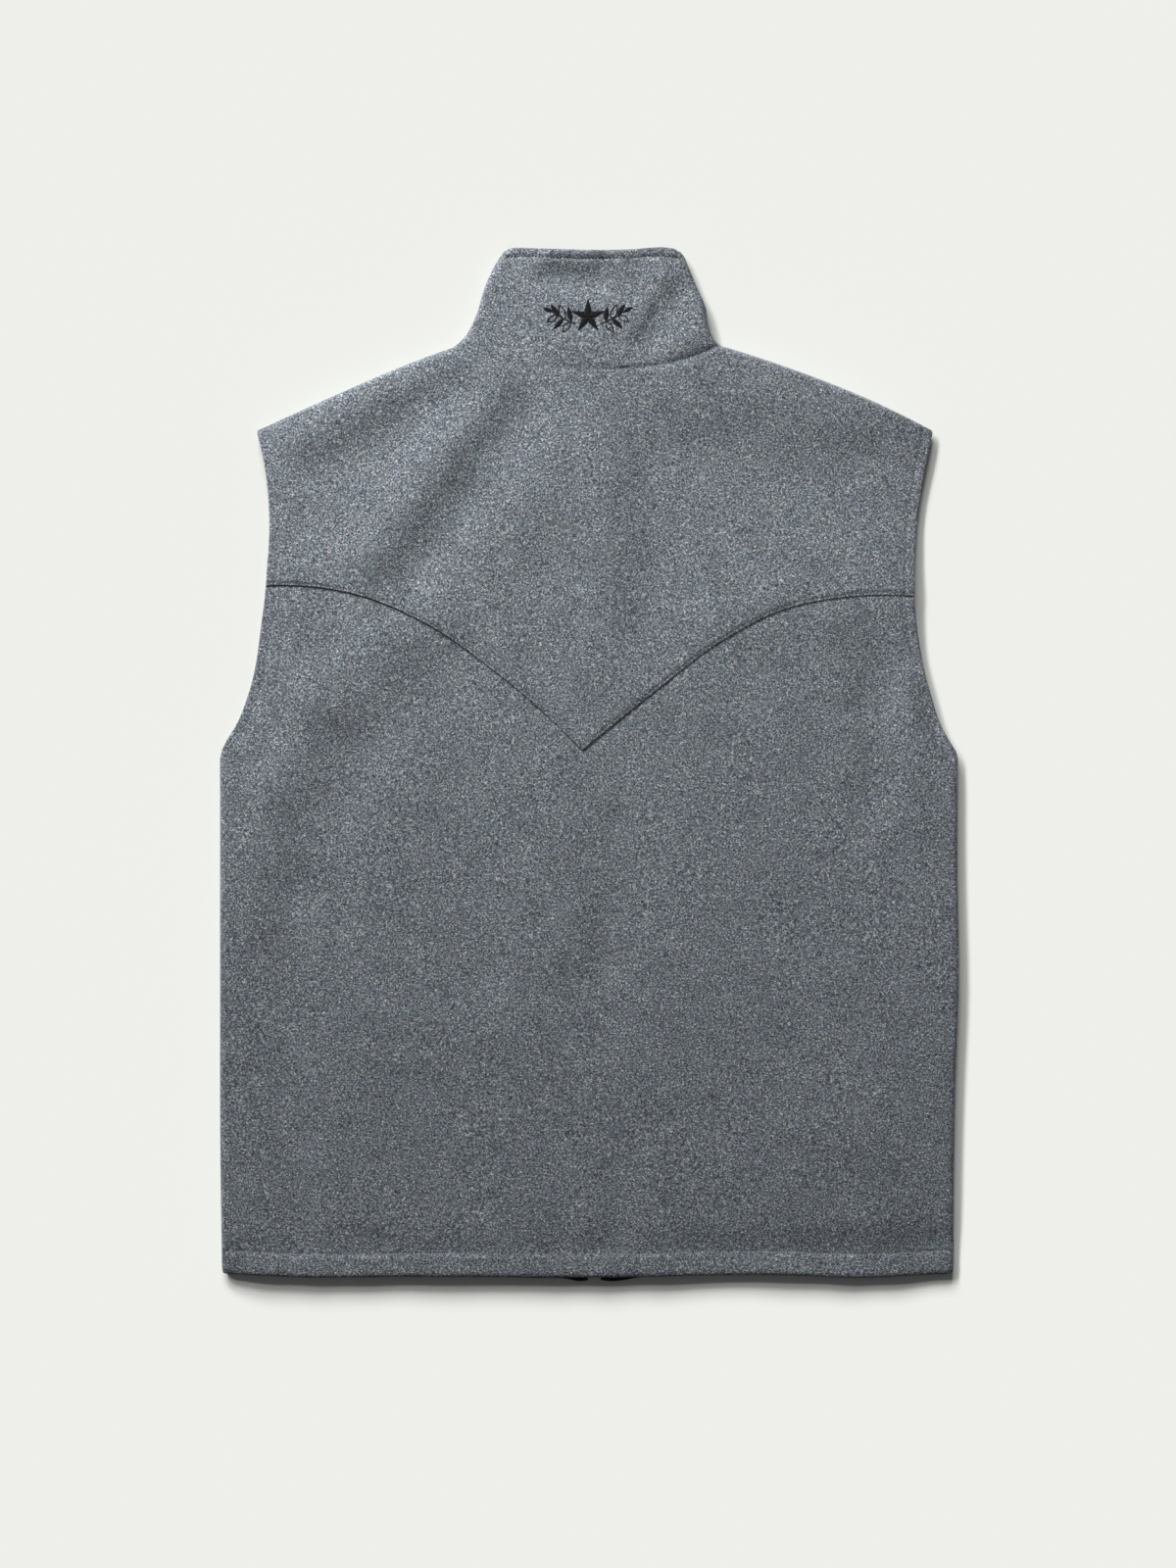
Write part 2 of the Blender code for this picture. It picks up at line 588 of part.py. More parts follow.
def make_collar(material):
    """The stand collar: one band from the left centre front, round the back, to the right centre front."""
    first = NECK_SEAM_GAP / (COLLAR_TOP[0].y - BACK_NECK[0].y)
    t = np.array([first, 0.06, 0.13, 0.24, 0.40, 0.58, 0.76, 0.92, 1.0])
    back_w = neck_shares()
    front_w = NECKLINE_STEPS
    fold_left = smooth_line(COLLAR_LEFT, t)
    fold_right = smooth_line(COLLAR_RIGHT, t)
    back = patch(
        smooth_line(BACK_NECK, back_w),
        smooth_line(COLLAR_TOP, back_w),
        smooth_line(COLLAR_LEFT, t),
        smooth_line(COLLAR_RIGHT, t),
        back_w,
        t,
    )
    fronts = []
    for fold, neckline, top, sign in (
        (fold_left, NECKLINE_LEFT, FRONT_TOP_LEFT, -1.0),
        (fold_right, NECKLINE_RIGHT, FRONT_TOP_RIGHT, 1.0),
    ):
        x = np.full_like(t, CENTRE_FRONT + sign * FRONT_EDGE)
        centre = np.stack([x, FRONT_NECK_HEIGHT + (FRONT_COLLAR_TOP - FRONT_NECK_HEIGHT) * t], axis=-1)
        seam, edge = smooth_line(neckline, front_w), smooth_line(top, front_w)
        fronts.append(patch(seam, edge, fold, centre, front_w, t))
    place = np.concatenate([fronts[0][:, :0:-1], back, fronts[1][:, 1:]], axis=1)
    front_count = len(front_w) - 1
    layer = np.concatenate([-np.ones(front_count), np.ones(len(back_w)), -np.ones(front_count)])
    distance, away = nearest_on_paths(place, COLLAR_FOLDS)
    away[0] = seam_direction(place[0], front_count, len(back_w))
    away[1] = away[0] + away[1]
    away[1] /= np.linalg.norm(away[1], axis=1)[:, None]
    angle = fold_angle(distance, COLLAR_FOLD_REACH) * layer
    flat = np.where(layer > 0.0, back_top(place), 2.0 * FOLD_HEIGHT - zip_lift(place))
    z = FOLD_HEIGHT + (flat - FOLD_HEIGHT) * np.sin(angle)
    return cloth_wall("collar", np.dstack([place, z]), inward_wall(COLLAR_WALL, angle, away, -1.0), material)


def seam_direction(row, front_count, back_count):
    """Along the collar's seam, away from the nearer fold, so that the wall stays on its own side of it."""
    along = np.gradient(row, axis=0)
    along /= np.linalg.norm(along, axis=1)[:, None]
    last = front_count + back_count - 1
    middle = (front_count + last) // 2
    direction = along.copy()
    direction[:front_count] *= -1.0
    direction[middle:last] *= -1.0
    direction[front_count] = direction[front_count + 1]
    direction[last] = direction[last - 1]
    return direction


def make_strip(name, x_low, x_high, y_low, y_high, height, wall, material):
    """A flat strip along the centre front, which follows the lift of the front edges."""
    y = np.linspace(y_low, y_high, 2 + int((y_high - y_low) // 200))
    y = join_steps(y, np.linspace(LIFT_START, LIFT_END, 7))
    x = np.array([x_low, x_high])
    place = np.stack(np.broadcast_arrays(x[None, :], y[:, None]), axis=-1)
    centre = np.stack([np.full(place.shape[:2], CENTRE_FRONT), place[..., 1]], axis=-1)
    outer = np.dstack([place, height + zip_lift(centre)])
    inward = np.zeros_like(outer)
    inward[..., 2] = wall
    return cloth_wall(name, outer, inward, material)


def make_facing(side, material):
    """The black facing inside a front, whose foot shows a little below the hem."""
    left_hand = side == "left"
    foot = FACING_FOOT_LEFT if left_hand else FACING_FOOT_RIGHT
    u = np.linspace(0.0, 1.0, 13)
    bottom = smooth_line(foot, u)
    v = join_steps([0.0, 0.012, 0.03], np.linspace(0.1, 1.0, 6))
    top = np.stack([bottom[:, 0], np.full_like(u, FACING_TOP)], axis=-1)
    place = bottom[None] + (top - bottom)[None] * v[:, None, None]
    outer = np.dstack([place, np.full(place.shape[:2], WALL + SEAM_GAP)])
    inward = np.zeros_like(outer)
    inward[..., 2] = FACING_WALL
    return cloth_wall(f"front_facing_{side}", outer, inward, material)


def block(x, y, z, taper=1.0):
    """A box between two corners. Its -Y end may be narrower than its +Y end."""
    bm = bmesh.new()
    bmesh.ops.create_cube(bm, size=1.0)
    for vert in bm.verts:
        narrow = taper if vert.co.y < 0.0 else 1.0
        middle = (x[0] + x[1]) / 2.0
        vert.co.x = (middle + vert.co.x * (x[1] - x[0]) * narrow) * MM
        vert.co.y = ((y[0] + y[1]) / 2.0 + vert.co.y * (y[1] - y[0])) * MM
        vert.co.z = ((z[0] + z[1]) / 2.0 + vert.co.z * (z[1] - z[0])) * MM
    return bm


def combine(name, blocks, material, cuts=()):
    """One body from overlapping blocks, less the blocks that are cut out of it."""
    body = finish_mesh(name, blocks[0], material)
    tools = [(part, "UNION") for part in blocks[1:]] + [(part, "DIFFERENCE") for part in cuts]
    for number, (part, operation) in enumerate(tools):
        tool = finish_mesh(f"{name}_tool_{number}", part, material)
        modifier = body.modifiers.new(operation.lower(), "BOOLEAN")
        modifier.operation = operation
        modifier.object = tool
        with bpy.context.temp_override(object=body, active_object=body, selected_objects=[body]):
            bpy.ops.object.modifier_apply(modifier=modifier.name)
        bpy.data.objects.remove(tool)
    return body


def make_slider(material):
    """The slider: two plates joined by a post, side lips round the tapes, and a bridge for the pull."""
    x, y = CENTRE_FRONT, SLIDER_PIVOT_Y
    half, wide = SLIDER_HALF_LENGTH, SLIDER_TOP_HALF_WIDTH
    taper = SLIDER_FOOT_HALF_WIDTH / SLIDER_TOP_HALF_WIDTH
    chain_low = CHAIN_BOTTOM + LIFT
    outer_face = chain_low - PLATE_GAP - PLATE_WALL
    inner_face = chain_low + CHAIN_WALL + PLATE_GAP
    lip = 0.55
    lip_width = 0.8
    plates = [
        block((x - wide, x + wide), (y - half, y + half), (outer_face, outer_face + PLATE_WALL), taper),
        block((x - wide, x + wide), (y - half, y + half), (inner_face, inner_face + PLATE_WALL), taper),
        block((x - 1.1, x + 1.1), (y + 1.0, y + half - 0.6), (outer_face + 0.3, inner_face + 0.3)),
    ]
    for sign in (-1.0, 1.0):
        far_side = x + sign * SLIDER_FOOT_HALF_WIDTH
        near, far = sorted((far_side - sign * lip_width, far_side))
        for low in (outer_face + PLATE_WALL - 0.1, inner_face - lip):
            plates.append(block((near, far), (y - half + 0.2, y + half - 0.2), (low, low + lip + 0.1)))
    bridge_low = PULL_HEIGHT - PULL_WALL / 2 - 1.0
    bridge_x = (x - BRIDGE_HALF_WIDTH, x + BRIDGE_HALF_WIDTH)
    plates.append(block(bridge_x, (y - 2.0, y + 2.0), (bridge_low, outer_face + 0.3)))
    hole = block((x - 3.0, x + 3.0), (y - 1.0, y + 1.0), (bridge_low + 0.65, outer_face))
    return combine("zip_slider", plates, material, cuts=[hole])


def make_pull(material):
    """The pull tab: a plate with a window round the bridge, turning on the bar at its upper end."""
    x, y = CENTRE_FRONT, SLIDER_PIVOT_Y
    z = (PULL_HEIGHT - PULL_WALL / 2, PULL_HEIGHT + PULL_WALL / 2)
    bar = PULL_WALL / 2
    frame_width = WINDOW_HALF_WIDTH + 1.3
    tab_head = y - WINDOW_LENGTH - 1.0
    plate = [
        block((x - frame_width, x + frame_width), (tab_head - 0.5, y + bar), z),
        block((x - PULL_HALF_WIDTH, x + PULL_HALF_WIDTH), (y - PULL_LENGTH, tab_head), z, 0.86),
    ]
    window = block(
        (x - WINDOW_HALF_WIDTH, x + WINDOW_HALF_WIDTH),
        (y - WINDOW_LENGTH, y - bar),
        (z[0] - 1.0, z[1] + 1.0),
    )
    return combine("zip_pull", plate, material, cuts=[window])


def make_zip(tape, metal):
    """The zip: tapes, chain, retainer box, slider and pull."""
    middle = CHAIN_BOTTOM + CHAIN_WALL / 2
    tape_low = middle - TAPE_WALL / 2
    zip_head = FRONT_COLLAR_TOP - 2.0
    for side, sign in (("left", -1.0), ("right", 1.0)):
        low, high = sorted((CENTRE_FRONT + sign * TAPE_INNER, CENTRE_FRONT + sign * TAPE_OUTER))
        make_strip(f"zip_tape_{side}", low, high, ZIP_FOOT - 4.0, zip_head, tape_low, TAPE_WALL, tape)
    chain_foot = ZIP_FOOT + BOX_LENGTH + SEAM_GAP
    chain_head = SLIDER_PIVOT_Y + 0.7
    low, high = CENTRE_FRONT - CHAIN_HALF_WIDTH, CENTRE_FRONT + CHAIN_HALF_WIDTH
    make_strip("zip_chain", low, high, chain_foot, chain_head, CHAIN_BOTTOM, CHAIN_WALL, metal)
    box_z = (CHAIN_BOTTOM - 0.5, CHAIN_BOTTOM + CHAIN_WALL + 0.5)
    retainer = block((low, high), (ZIP_FOOT, ZIP_FOOT + BOX_LENGTH), box_z)
    finish_mesh("zip_box", retainer, metal)
    make_slider(metal)
    make_pull(metal)


def plain_material(name, colour, roughness, metallic):
    """A plain finish for one kind of stuff."""
    material = bpy.data.materials.new(name)
    material.use_nodes = True
    shader = material.node_tree.nodes["Principled BSDF"]
    shader.inputs["Base Color"].default_value = (*colour, 1.0)
    shader.inputs["Roughness"].default_value = roughness
    shader.inputs["Metallic"].default_value = metallic
    return material


def main():
    for item in list(bpy.data.objects):
        bpy.data.objects.remove(item)
    collection = bpy.data.collections.new(COLLECTION)
    bpy.context.scene.collection.children.link(collection)
    wool = plain_material("heather_grey_wool", (0.155, 0.170, 0.188), 0.95, 0.0)
    lining = plain_material("black_facing_cloth", (0.012, 0.012, 0.014), 0.8, 0.0)
    tape = plain_material("black_zip_tape", (0.015, 0.015, 0.017), 0.85, 0.0)
    metal = plain_material("dark_zip_metal", (0.09, 0.09, 0.095), 0.38, 1.0)
    make_back_panel(wool)
    make_back_yoke(wool)
    make_front("left", wool)
    make_front("right", wool)
    make_collar(wool)
    make_facing("left", lining)
    make_facing("right", lining)
    make_zip(tape, metal)


main()
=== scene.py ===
"""Looks of the western vest: fine cloth walls, stitching, zip teeth, materials, floor, lights and camera.

The frame is in metres, with the vest on the plane z = 0, its collar towards +Y and its back up. The
outline, the folds and the stitching are worked out in millimetres, and MM turns them into metres.
"""
import json
import math
from collections import namedtuple

import bmesh
import bpy
import numpy as np
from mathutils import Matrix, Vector

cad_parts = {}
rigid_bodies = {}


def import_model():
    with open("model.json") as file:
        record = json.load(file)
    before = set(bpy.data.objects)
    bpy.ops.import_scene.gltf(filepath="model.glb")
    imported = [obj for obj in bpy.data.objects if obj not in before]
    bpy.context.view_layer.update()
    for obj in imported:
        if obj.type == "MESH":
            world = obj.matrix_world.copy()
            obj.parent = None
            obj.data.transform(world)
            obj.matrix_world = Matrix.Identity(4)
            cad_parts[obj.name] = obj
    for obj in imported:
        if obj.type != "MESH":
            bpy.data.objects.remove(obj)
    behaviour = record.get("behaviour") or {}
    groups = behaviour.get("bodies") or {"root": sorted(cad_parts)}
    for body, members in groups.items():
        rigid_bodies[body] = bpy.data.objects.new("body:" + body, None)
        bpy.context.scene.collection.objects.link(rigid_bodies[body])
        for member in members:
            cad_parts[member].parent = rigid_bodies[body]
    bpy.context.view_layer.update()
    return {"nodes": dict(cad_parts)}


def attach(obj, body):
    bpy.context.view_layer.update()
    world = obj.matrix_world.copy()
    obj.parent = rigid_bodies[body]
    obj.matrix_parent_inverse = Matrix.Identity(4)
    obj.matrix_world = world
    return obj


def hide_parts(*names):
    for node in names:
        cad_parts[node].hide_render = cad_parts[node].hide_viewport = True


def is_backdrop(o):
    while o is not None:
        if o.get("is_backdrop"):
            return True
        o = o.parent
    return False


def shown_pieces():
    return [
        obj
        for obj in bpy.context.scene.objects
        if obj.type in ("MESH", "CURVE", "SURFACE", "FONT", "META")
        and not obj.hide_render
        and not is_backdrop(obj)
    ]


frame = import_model()

MM = 0.001
TOUCHING = 1e-6
ON_PATH = 0.05
CLOTH_MERGE = 2e-6
SOLID_MERGE = 1e-6
FLAT_ANGLE = 3.0
SHARP_ANGLE = 50.0
BEVEL = 0.18

Span = namedtuple("Span", "low high")
Groove = namedtuple("Groove", "depth spread")

# Cloth
WALL = 2.8
COLLAR_WALL = 3.6
HEM_EXTRA = 1.2
HEM_DEPTH = 17.0
HEM_ROUND = 4.4
HEM_FADE = Span(HEM_DEPTH - 2.0, HEM_DEPTH + 1.5)
HEM_TURN = Span(HEM_DEPTH - 1.0, HEM_DEPTH + 1.0)
ARMHOLE_BAND = 7.0
COLLAR_BAND = 6.3
YOKE_BAND = 1.9
FACING_WALL = 0.8
SEAM_GAP = 0.3
NECK_SEAM_GAP = 0.12

# Heights of the flat vest
TOP_HEIGHT = 9.2
LOWEST_TOP = 6.2
TOP_SOFTNESS = 2.5
FOLD_HEIGHT = 4.6
FOLD_REACH = 4.6
COLLAR_FOLD_REACH = 5.0
SIDE_LIFT = 2.6
SIDE_LIFT_HEIGHT = -160.0
SIDE_LIFT_SPREAD = 85.0
SIDE_LIFT_NEAR = 205.0
SIDE_LIFT_FAR = 262.0
SIDE_LIFT_ON_TOP = 0.6
CORNER_DIMPLE = 0.25
CORNER_REACH = 14.0

# Yoke lap
LAP_DEPTH = 13.0
LAP_RISE = 1.45
LAP_FADE = 48.0
EDGE_PRESS = 0.3
EDGE_PRESS_ENDS = 0.42
EDGE_PRESS_REACH = 2.2
YOKE_THINNING = 1.5
THINNING_REACH = 22.0
BED_DEPTH = 0.3
BED_REACH = 3.0
YOKE_EDGE_ROUND = 0.9
YOKE_RIGHT_PART = Span(-20.0, 60.0)
YOKE_LEFT_PART = Span(150.0, 210.0)

# Relief of the turned edges, the seams and their stitching
HEM_SWELL = 0.45
HEM_RIPPLE = 0.25
RIPPLE_LENGTH = 9.0
RIPPLE_DRIFT = 1.7
RIPPLE_DRIFT_LENGTH = 31.0
HEM_GROOVE = Groove(0.35, 1.2)
ARMHOLE_GROOVE = Groove(0.4, 0.9)
YOKE_GROOVE = Groove(0.3, 0.5)
YOKE_SEAM = Groove(0.3, 1.4)
YOKE_SEAM_AT_RIGHT = 0.35
COLLAR_GROOVE = Groove(0.95, 1.1)
COLLAR_SEAM = Groove(0.35, 1.7)
COLLAR_SEAM_AT_RIGHT = 1.3
COLLAR_HOLLOW = Groove(2.7, 8.0)
COLLAR_RIGHT_PART = Span(-30.0, 92.0)

# Outline: the hem's corners are cut in by a small rounding
HEM_HEIGHT = -376.3
HEM_SAG = 2.4
SIDE_FOOT_LEFT = -271.0
SIDE_FOOT_RIGHT = 269.5
CORNER_LEFT = 0.6
CORNER_RIGHT = 0.6
CORNER_SPREAD = 2.0
HEM_LEFT = (SIDE_FOOT_LEFT + CORNER_LEFT, HEM_HEIGHT + CORNER_LEFT)
HEM_RIGHT = (SIDE_FOOT_RIGHT - CORNER_RIGHT, HEM_HEIGHT + CORNER_RIGHT)
UNDERARM_HEIGHT = 7.8
UNDERARM_LEFT = (-273.0, UNDERARM_HEIGHT)
UNDERARM_RIGHT = (273.0, UNDERARM_HEIGHT)
CENTRE_FRONT = 4.0
FRONT_EDGE = 6.0
FACING_TOP = 180.0
FRONT_NECK_HEIGHT = 197.0
FRONT_COLLAR_TOP = 272.0
FRONT_HEM_RISE = 1.2
FRONT_ARMHOLE_PEEP = 0.9
PEEP_HEIGHT = 95.0
PEEP_REACH = 26.0
PEEP_FADE = Span(UNDERARM_HEIGHT + 2.0, UNDERARM_HEIGHT + 20.0)
# Reach of the black lining on a front's inner face from its open armhole. Where the front peeps past the
# back, this black is painted shade.
ARMHOLE_LINING_AND_SHADE = 9.0
ARMHOLE_DROP = 1.6
ARMHOLE_DROP_REACH = 9.0
ARMHOLE_FADE = Span(UNDERARM_HEIGHT + 2.0, UNDERARM_HEIGHT + 16.0)

# Lift of the front edges over the zip slider
LIFT = 2.9
LIFT_START = 180.0
LIFT_END = 232.0
LIFT_NEAR = 22.0
LIFT_FAR = 80.0
BACK_BUMP = 1.1
BUMP_START = 140.0
BUMP_FADE = 285.0
BUMP_END = 340.0
BUMP_FAR = 100.0

# Zip
TAPE_WALL = 0.6
TAPE_INNER = 3.0
TAPE_OUTER = 5.7
TAPE_BELOW = 4.0
TAPE_TOP_GAP = 2.0
TAPE_STEP = 6.0
CHAIN_WALL = 2.0
CHAIN_BOTTOM = 1.0
CHAIN_HALF_WIDTH = 2.7
TOOTH_PITCH = 2.9
ZIP_FOOT = -372.0
BOX_LENGTH = 7.0
BOX_GAP = 1.0
SLIDER_PIVOT_Y = 261.0

# Waves of the hem, and of the side seams: place along the edge, width, and how far out it stands
Wave = namedtuple("Wave", "at width out")
HEM_WAVES = [Wave(-200.0, 34.0, 1.5), Wave(112.0, 42.0, -1.3), Wave(202.0, 27.0, 2.0)]
LEFT_WAVES = [Wave(-270.0, 75.0, 1.3), Wave(-120.0, 60.0, 0.5)]
RIGHT_WAVES = [Wave(-300.0, 60.0, -0.2), Wave(-158.0, 42.0, 1.9)]

Section = namedtuple("Section", "y left right")
ARMHOLES = [
    Section(7.8, -273.0, 273.0),
    Section(18.7, -267.6, 266.1),
    Section(29.5, -261.0, 260.3),
    Section(51.3, -252.3, 253.1),
    Section(73.1, -246.5, 247.3),
    Section(105.0, -241.8, 241.8),
    Section(138.3, -238.6, 240.7),
    Section(181.8, -236.4, 242.9),
    Section(225.3, -240.7, 250.0),
    Section(247.1, -245.8, 254.5),
]

Point = namedtuple("Point", "x y")
SHOULDER_LEFT = [
    Point(-245.8, 247.1), Point(-196.5, 269.6), Point(-142.1, 293.2), Point(-120.0, 301.9),
    Point(-100.8, 308.7),
]
SHOULDER_RIGHT = [Point(254.5, 247.1), Point(211.0, 268.8), Point(153.0, 292.0), Point(97.5, 310.2)]
BACK_NECK = [
    Point(-100.8, 308.7), Point(-60.0, 297.5), Point(-20.0, 293.0), Point(29.7, 292.8),
    Point(66.0, 298.0), Point(97.5, 310.2),
]
YOKE_LEFT = [
    Point(-238.6, 132.3), Point(-209.2, 131.9), Point(-166.4, 124.2), Point(-121.8, 105.1),
    Point(-67.4, 67.3), Point(-4.9, 10.6),
]
YOKE_RIGHT = [
    Point(-4.9, 10.6), Point(51.6, 56.4), Point(97.5, 91.0), Point(143.2, 114.3), Point(190.0, 123.8),
    Point(240.2, 124.5),
]
COLLAR_LEFT = [
    Point(-100.8, 308.7), Point(-90.5, 318.5), Point(-84.6, 330.0), Point(-76.1, 355.9),
    Point(-66.0, 375.6), Point(-61.6, 381.4),
]
COLLAR_RIGHT = [
    Point(97.5, 310.2), Point(91.6, 317.0), Point(88.8, 325.0), Point(86.4, 338.7),
    Point(80.0, 353.5), Point(73.2, 369.7), Point(70.2, 376.4), Point(66.4, 380.8),
]
COLLAR_TOP = [
    Point(-61.6, 381.4), Point(-57.0, 382.0), Point(-30.0, 381.2), Point(0.0, 380.2),
    Point(30.0, 381.0), Point(60.0, 382.1), Point(66.4, 380.8),
]
NECKLINE_LEFT = [Point(-100.8, 308.7), Point(-82.0, 268.0), Point(-52.0, 227.0), Point(-2.0, 197.0)]
NECKLINE_RIGHT = [Point(97.5, 310.2), Point(84.0, 268.0), Point(56.0, 227.0), Point(10.0, 197.0)]
FRONT_TOP_LEFT = [Point(-61.6, 381.4), Point(-40.0, 330.0), Point(-2.0, 272.0)]
FRONT_TOP_RIGHT = [Point(66.4, 380.8), Point(46.0, 330.0), Point(10.0, 272.0)]
FACING_FOOT_LEFT = [
    Point(-66.7, -378.7), Point(-40.0, -379.6), Point(-16.0, -380.3), Point(-7.0, -382.0),
    Point(-0.7, -381.2),
]
FACING_FOOT_RIGHT = [
    Point(8.7, -381.0), Point(14.5, -382.0), Point(25.0, -381.3), Point(36.0, -379.2),
    Point(74.7, -377.2),
]

# Soft ridges and troughs: where each one runs, how wide it is and how high or deep
Crease = namedtuple("Crease", "x0 y0 x1 y1 width depth")
CREASES = [
    Crease(-157.0, 157.0, -72.0, 281.0, 14.0, 3.4),
    Crease(-131.0, 140.0, -46.0, 260.0, 14.0, -3.0),
    Crease(-98.0, 116.0, -14.0, 238.0, 17.0, 1.1),
    Crease(-196.0, 174.0, -114.0, 284.0, 14.0, -0.8),
    Crease(-92.0, 302.0, -212.0, 244.0, 11.0, 2.3),
    Crease(-92.0, 275.0, -202.0, 210.0, 13.0, -2.0),
    Crease(-208.0, 184.0, -222.0, 164.0, 9.0, -1.3),
    Crease(80.0, 300.0, 190.0, 268.0, 24.0, 4.2),
    Crease(52.0, 226.0, 212.0, 206.0, 24.0, -3.2),
    Crease(182.0, 266.0, 210.0, 254.0, 10.0, 0.6),
    Crease(186.0, 228.0, 206.0, 224.0, 9.0, -0.7),
    Crease(14.0, 215.0, 6.0, 76.0, 14.0, 1.8),
    Crease(54.0, 215.0, 50.0, 90.0, 16.0, -2.2),
    Crease(112.0, 215.0, 120.0, 150.0, 16.0, 0.8),
    Crease(-92.0, 150.0, -84.0, 96.0, 7.0, -0.8),
    Crease(-44.0, 142.0, -38.0, 76.0, 7.0, -0.9),
    Crease(-138.0, 100.0, -202.0, 46.0, 15.0, 1.5),
    Crease(-202.0, 46.0, -229.0, -14.0, 15.0, 1.4),
    Crease(-229.0, -14.0, -249.0, -118.0, 13.0, 1.3),
    Crease(-106.0, 66.0, -166.0, 12.0, 17.0, -1.6),
    Crease(-166.0, 12.0, -189.0, -36.0, 17.0, -1.4),
    Crease(-189.0, -36.0, -206.0, -90.0, 15.0, -1.4),
    Crease(172.0, 100.0, 176.0, 62.0, 12.0, 0.8),
    Crease(207.0, 96.0, 212.0, 58.0, 12.0, -2.2),
    Crease(212.0, 58.0, 208.0, -38.0, 11.0, -1.8),
    Crease(240.0, 62.0, 237.0, -36.0, 9.0, 1.5),
    Crease(-92.0, 50.0, -94.0, -150.0, 24.0, -1.2),
    Crease(-26.0, 0.0, -24.0, -120.0, 20.0, 0.9),
    Crease(-10.0, -46.0, -12.0, -136.0, 11.0, 1.2),
    Crease(19.0, -46.0, 17.0, -150.0, 12.0, -1.4),
    Crease(-2.0, -300.0, -3.0, -346.0, 8.0, 0.7),
    Crease(20.0, -300.0, 20.0, -346.0, 9.0, -1.0),
    Crease(-219.0, -100.0, -216.0, -345.0, 15.0, -1.6),
    Crease(195.0, -196.0, 206.0, -232.0, 13.0, -1.0),
    Crease(108.0, 105.0, 232.0, 114.0, 15.0, 1.6),
    Crease(210.0, -215.0, 214.0, -345.0, 13.0, 1.3),
    Crease(268.0, -376.0, 268.0, -375.0, 28.0, -3.2),
    Crease(-270.0, -376.0, -270.0, -375.0, 13.0, -3.0),
    Crease(-246.0, -358.0, 40.0, -360.0, 8.0, -0.8),
    Crease(70.0, -359.0, 258.0, -357.0, 9.0, -1.8),
    Crease(-2.0, 322.0, -2.0, 368.0, 30.0, 2.0),
    Crease(-28.0, 378.0, 2.0, 378.0, 6.0, 2.6),
    Crease(-30.0, 358.0, 4.0, 357.0, 7.0, -3.2),
    Crease(55.0, 360.0, 30.0, 323.0, 7.0, 1.8),
    Crease(71.0, 350.0, 46.0, 313.0, 8.0, -2.1),
]

# Random slackness of the laid cloth: a smooth field for each cell, the long ones only below the yoke
Slack = namedtuple("Slack", "cell stretch height seed")
SLACKS = [Slack(92.0, 1.0, 0.5, 3), Slack(44.0, 1.0, 0.26, 8), Slack(21.0, 1.0, 0.06, 21)]
LONG_SLACKS = [Slack(38.0, 3.4, 0.55, 14), Slack(19.0, 3.0, 0.12, 30)]
LONG_SLACK_TOP = 60.0
LONG_SLACK_FULL = -40.0
FIELD_CORNER = -460.0
FIELD_SIZE = 920.0

# Distances from an edge at which every grid has a line, close together where the cloth rounds over
EDGE_LINES = np.array([0.0, 0.09, 0.36, 0.8, 1.4, 2.1, 3.0, 4.0, 5.0, 6.0, 6.6, 7.1, 7.6, 8.4, 9.8])
HEM_LINES = np.array([0.0, 0.12, 0.45, 1.0, 1.7, 2.6, 4.0, 6.0, 8.0, 10.0, 12.0, 14.0, 15.2, 16.0])
SIDE_FOOT_LINES = np.array([0.0, 1.0, 2.0, 3.5, 5.0, 7.0, 10.0, 13.0])
SIDE_FOOT_STEP = 8.0
YOKE_EDGE_LINES = np.array([0.0, 0.09, 0.34, 0.7, 1.15, 1.6, 2.0, 2.5, 3.2, 4.2, 5.4, 7.0])
STITCH_LINES = np.array([-0.5, 0.0, 0.5, 1.1, 2.0, 3.4])
CLOTH_STEP = 3.2
FRONT_STEP = 5.0
COLLAR_STEP_UP = 2.2
COLLAR_STEP_ACROSS = 2.6
COLLAR_FRONT_STEP = 4.0

# Shares of a panel at which its edges turn from one seam to the next, and between which its grid is even
BACK_UNDERARM = 0.74
BACK_EVEN = Span(0.022, 0.978)
FRONT_UNDERARM = 0.60
FRONT_NECK = 0.55
YOKE_NECK = Span(0.30, 0.705)
YOKE_EVEN = Span(0.024, 0.976)
YOKE_EVEN_UP = Span(0.075, 0.94)
COLLAR_EVEN = Span(0.035, 0.965)
COLLAR_FRONT_EVEN = Span(0.05, 0.95)
COLLAR_EVEN_UP = Span(0.035, 0.86)
NECK_SHARES = np.array([0.0, 0.003, 0.008, 0.014])
COLLAR_FOOT_SHARES = np.array([0.0, 0.005, 0.012, 0.02])
FACING_FOOT_SHARES = np.array([0.0, 0.0006, 0.0014, 0.0024, 0.005, 0.01, 0.02])
SEAM_TURNS = (1.0, 0.75, 0.5, 0.25)
FOOT_BLEND = 6.0


def smooth_line(points, share):
    """A smooth line through the points: a cubic in each stretch, with the share of the length as input."""
    points = np.array(points, float)
    share = np.asarray(share, float)
    length = np.concatenate([[0.0], np.cumsum(np.hypot(*np.diff(points, axis=0).T))])
    knots = length / length[-1]
    slopes = np.gradient(points, knots, axis=0, edge_order=min(2, len(points) - 1))
    return cubic(points, slopes, knots, share)


def cubic(values, slopes, knots, share):
    """Hermite cubic: each stretch starts and ends at its knots' values, with their slopes."""
    stretch = np.clip(np.searchsorted(knots, share, side="right") - 1, 0, len(knots) - 2)
    span = knots[stretch + 1] - knots[stretch]
    t = (share - knots[stretch]) / span
    if values.ndim > 1:
        span, t = span[..., None], t[..., None]
    start = values[stretch] * (2 * t**3 - 3 * t**2 + 1) + slopes[stretch] * span * (t**3 - 2 * t**2 + t)
    end = values[stretch + 1] * (3 * t**2 - 2 * t**3) + slopes[stretch + 1] * span * (t**3 - t**2)
    return start + end


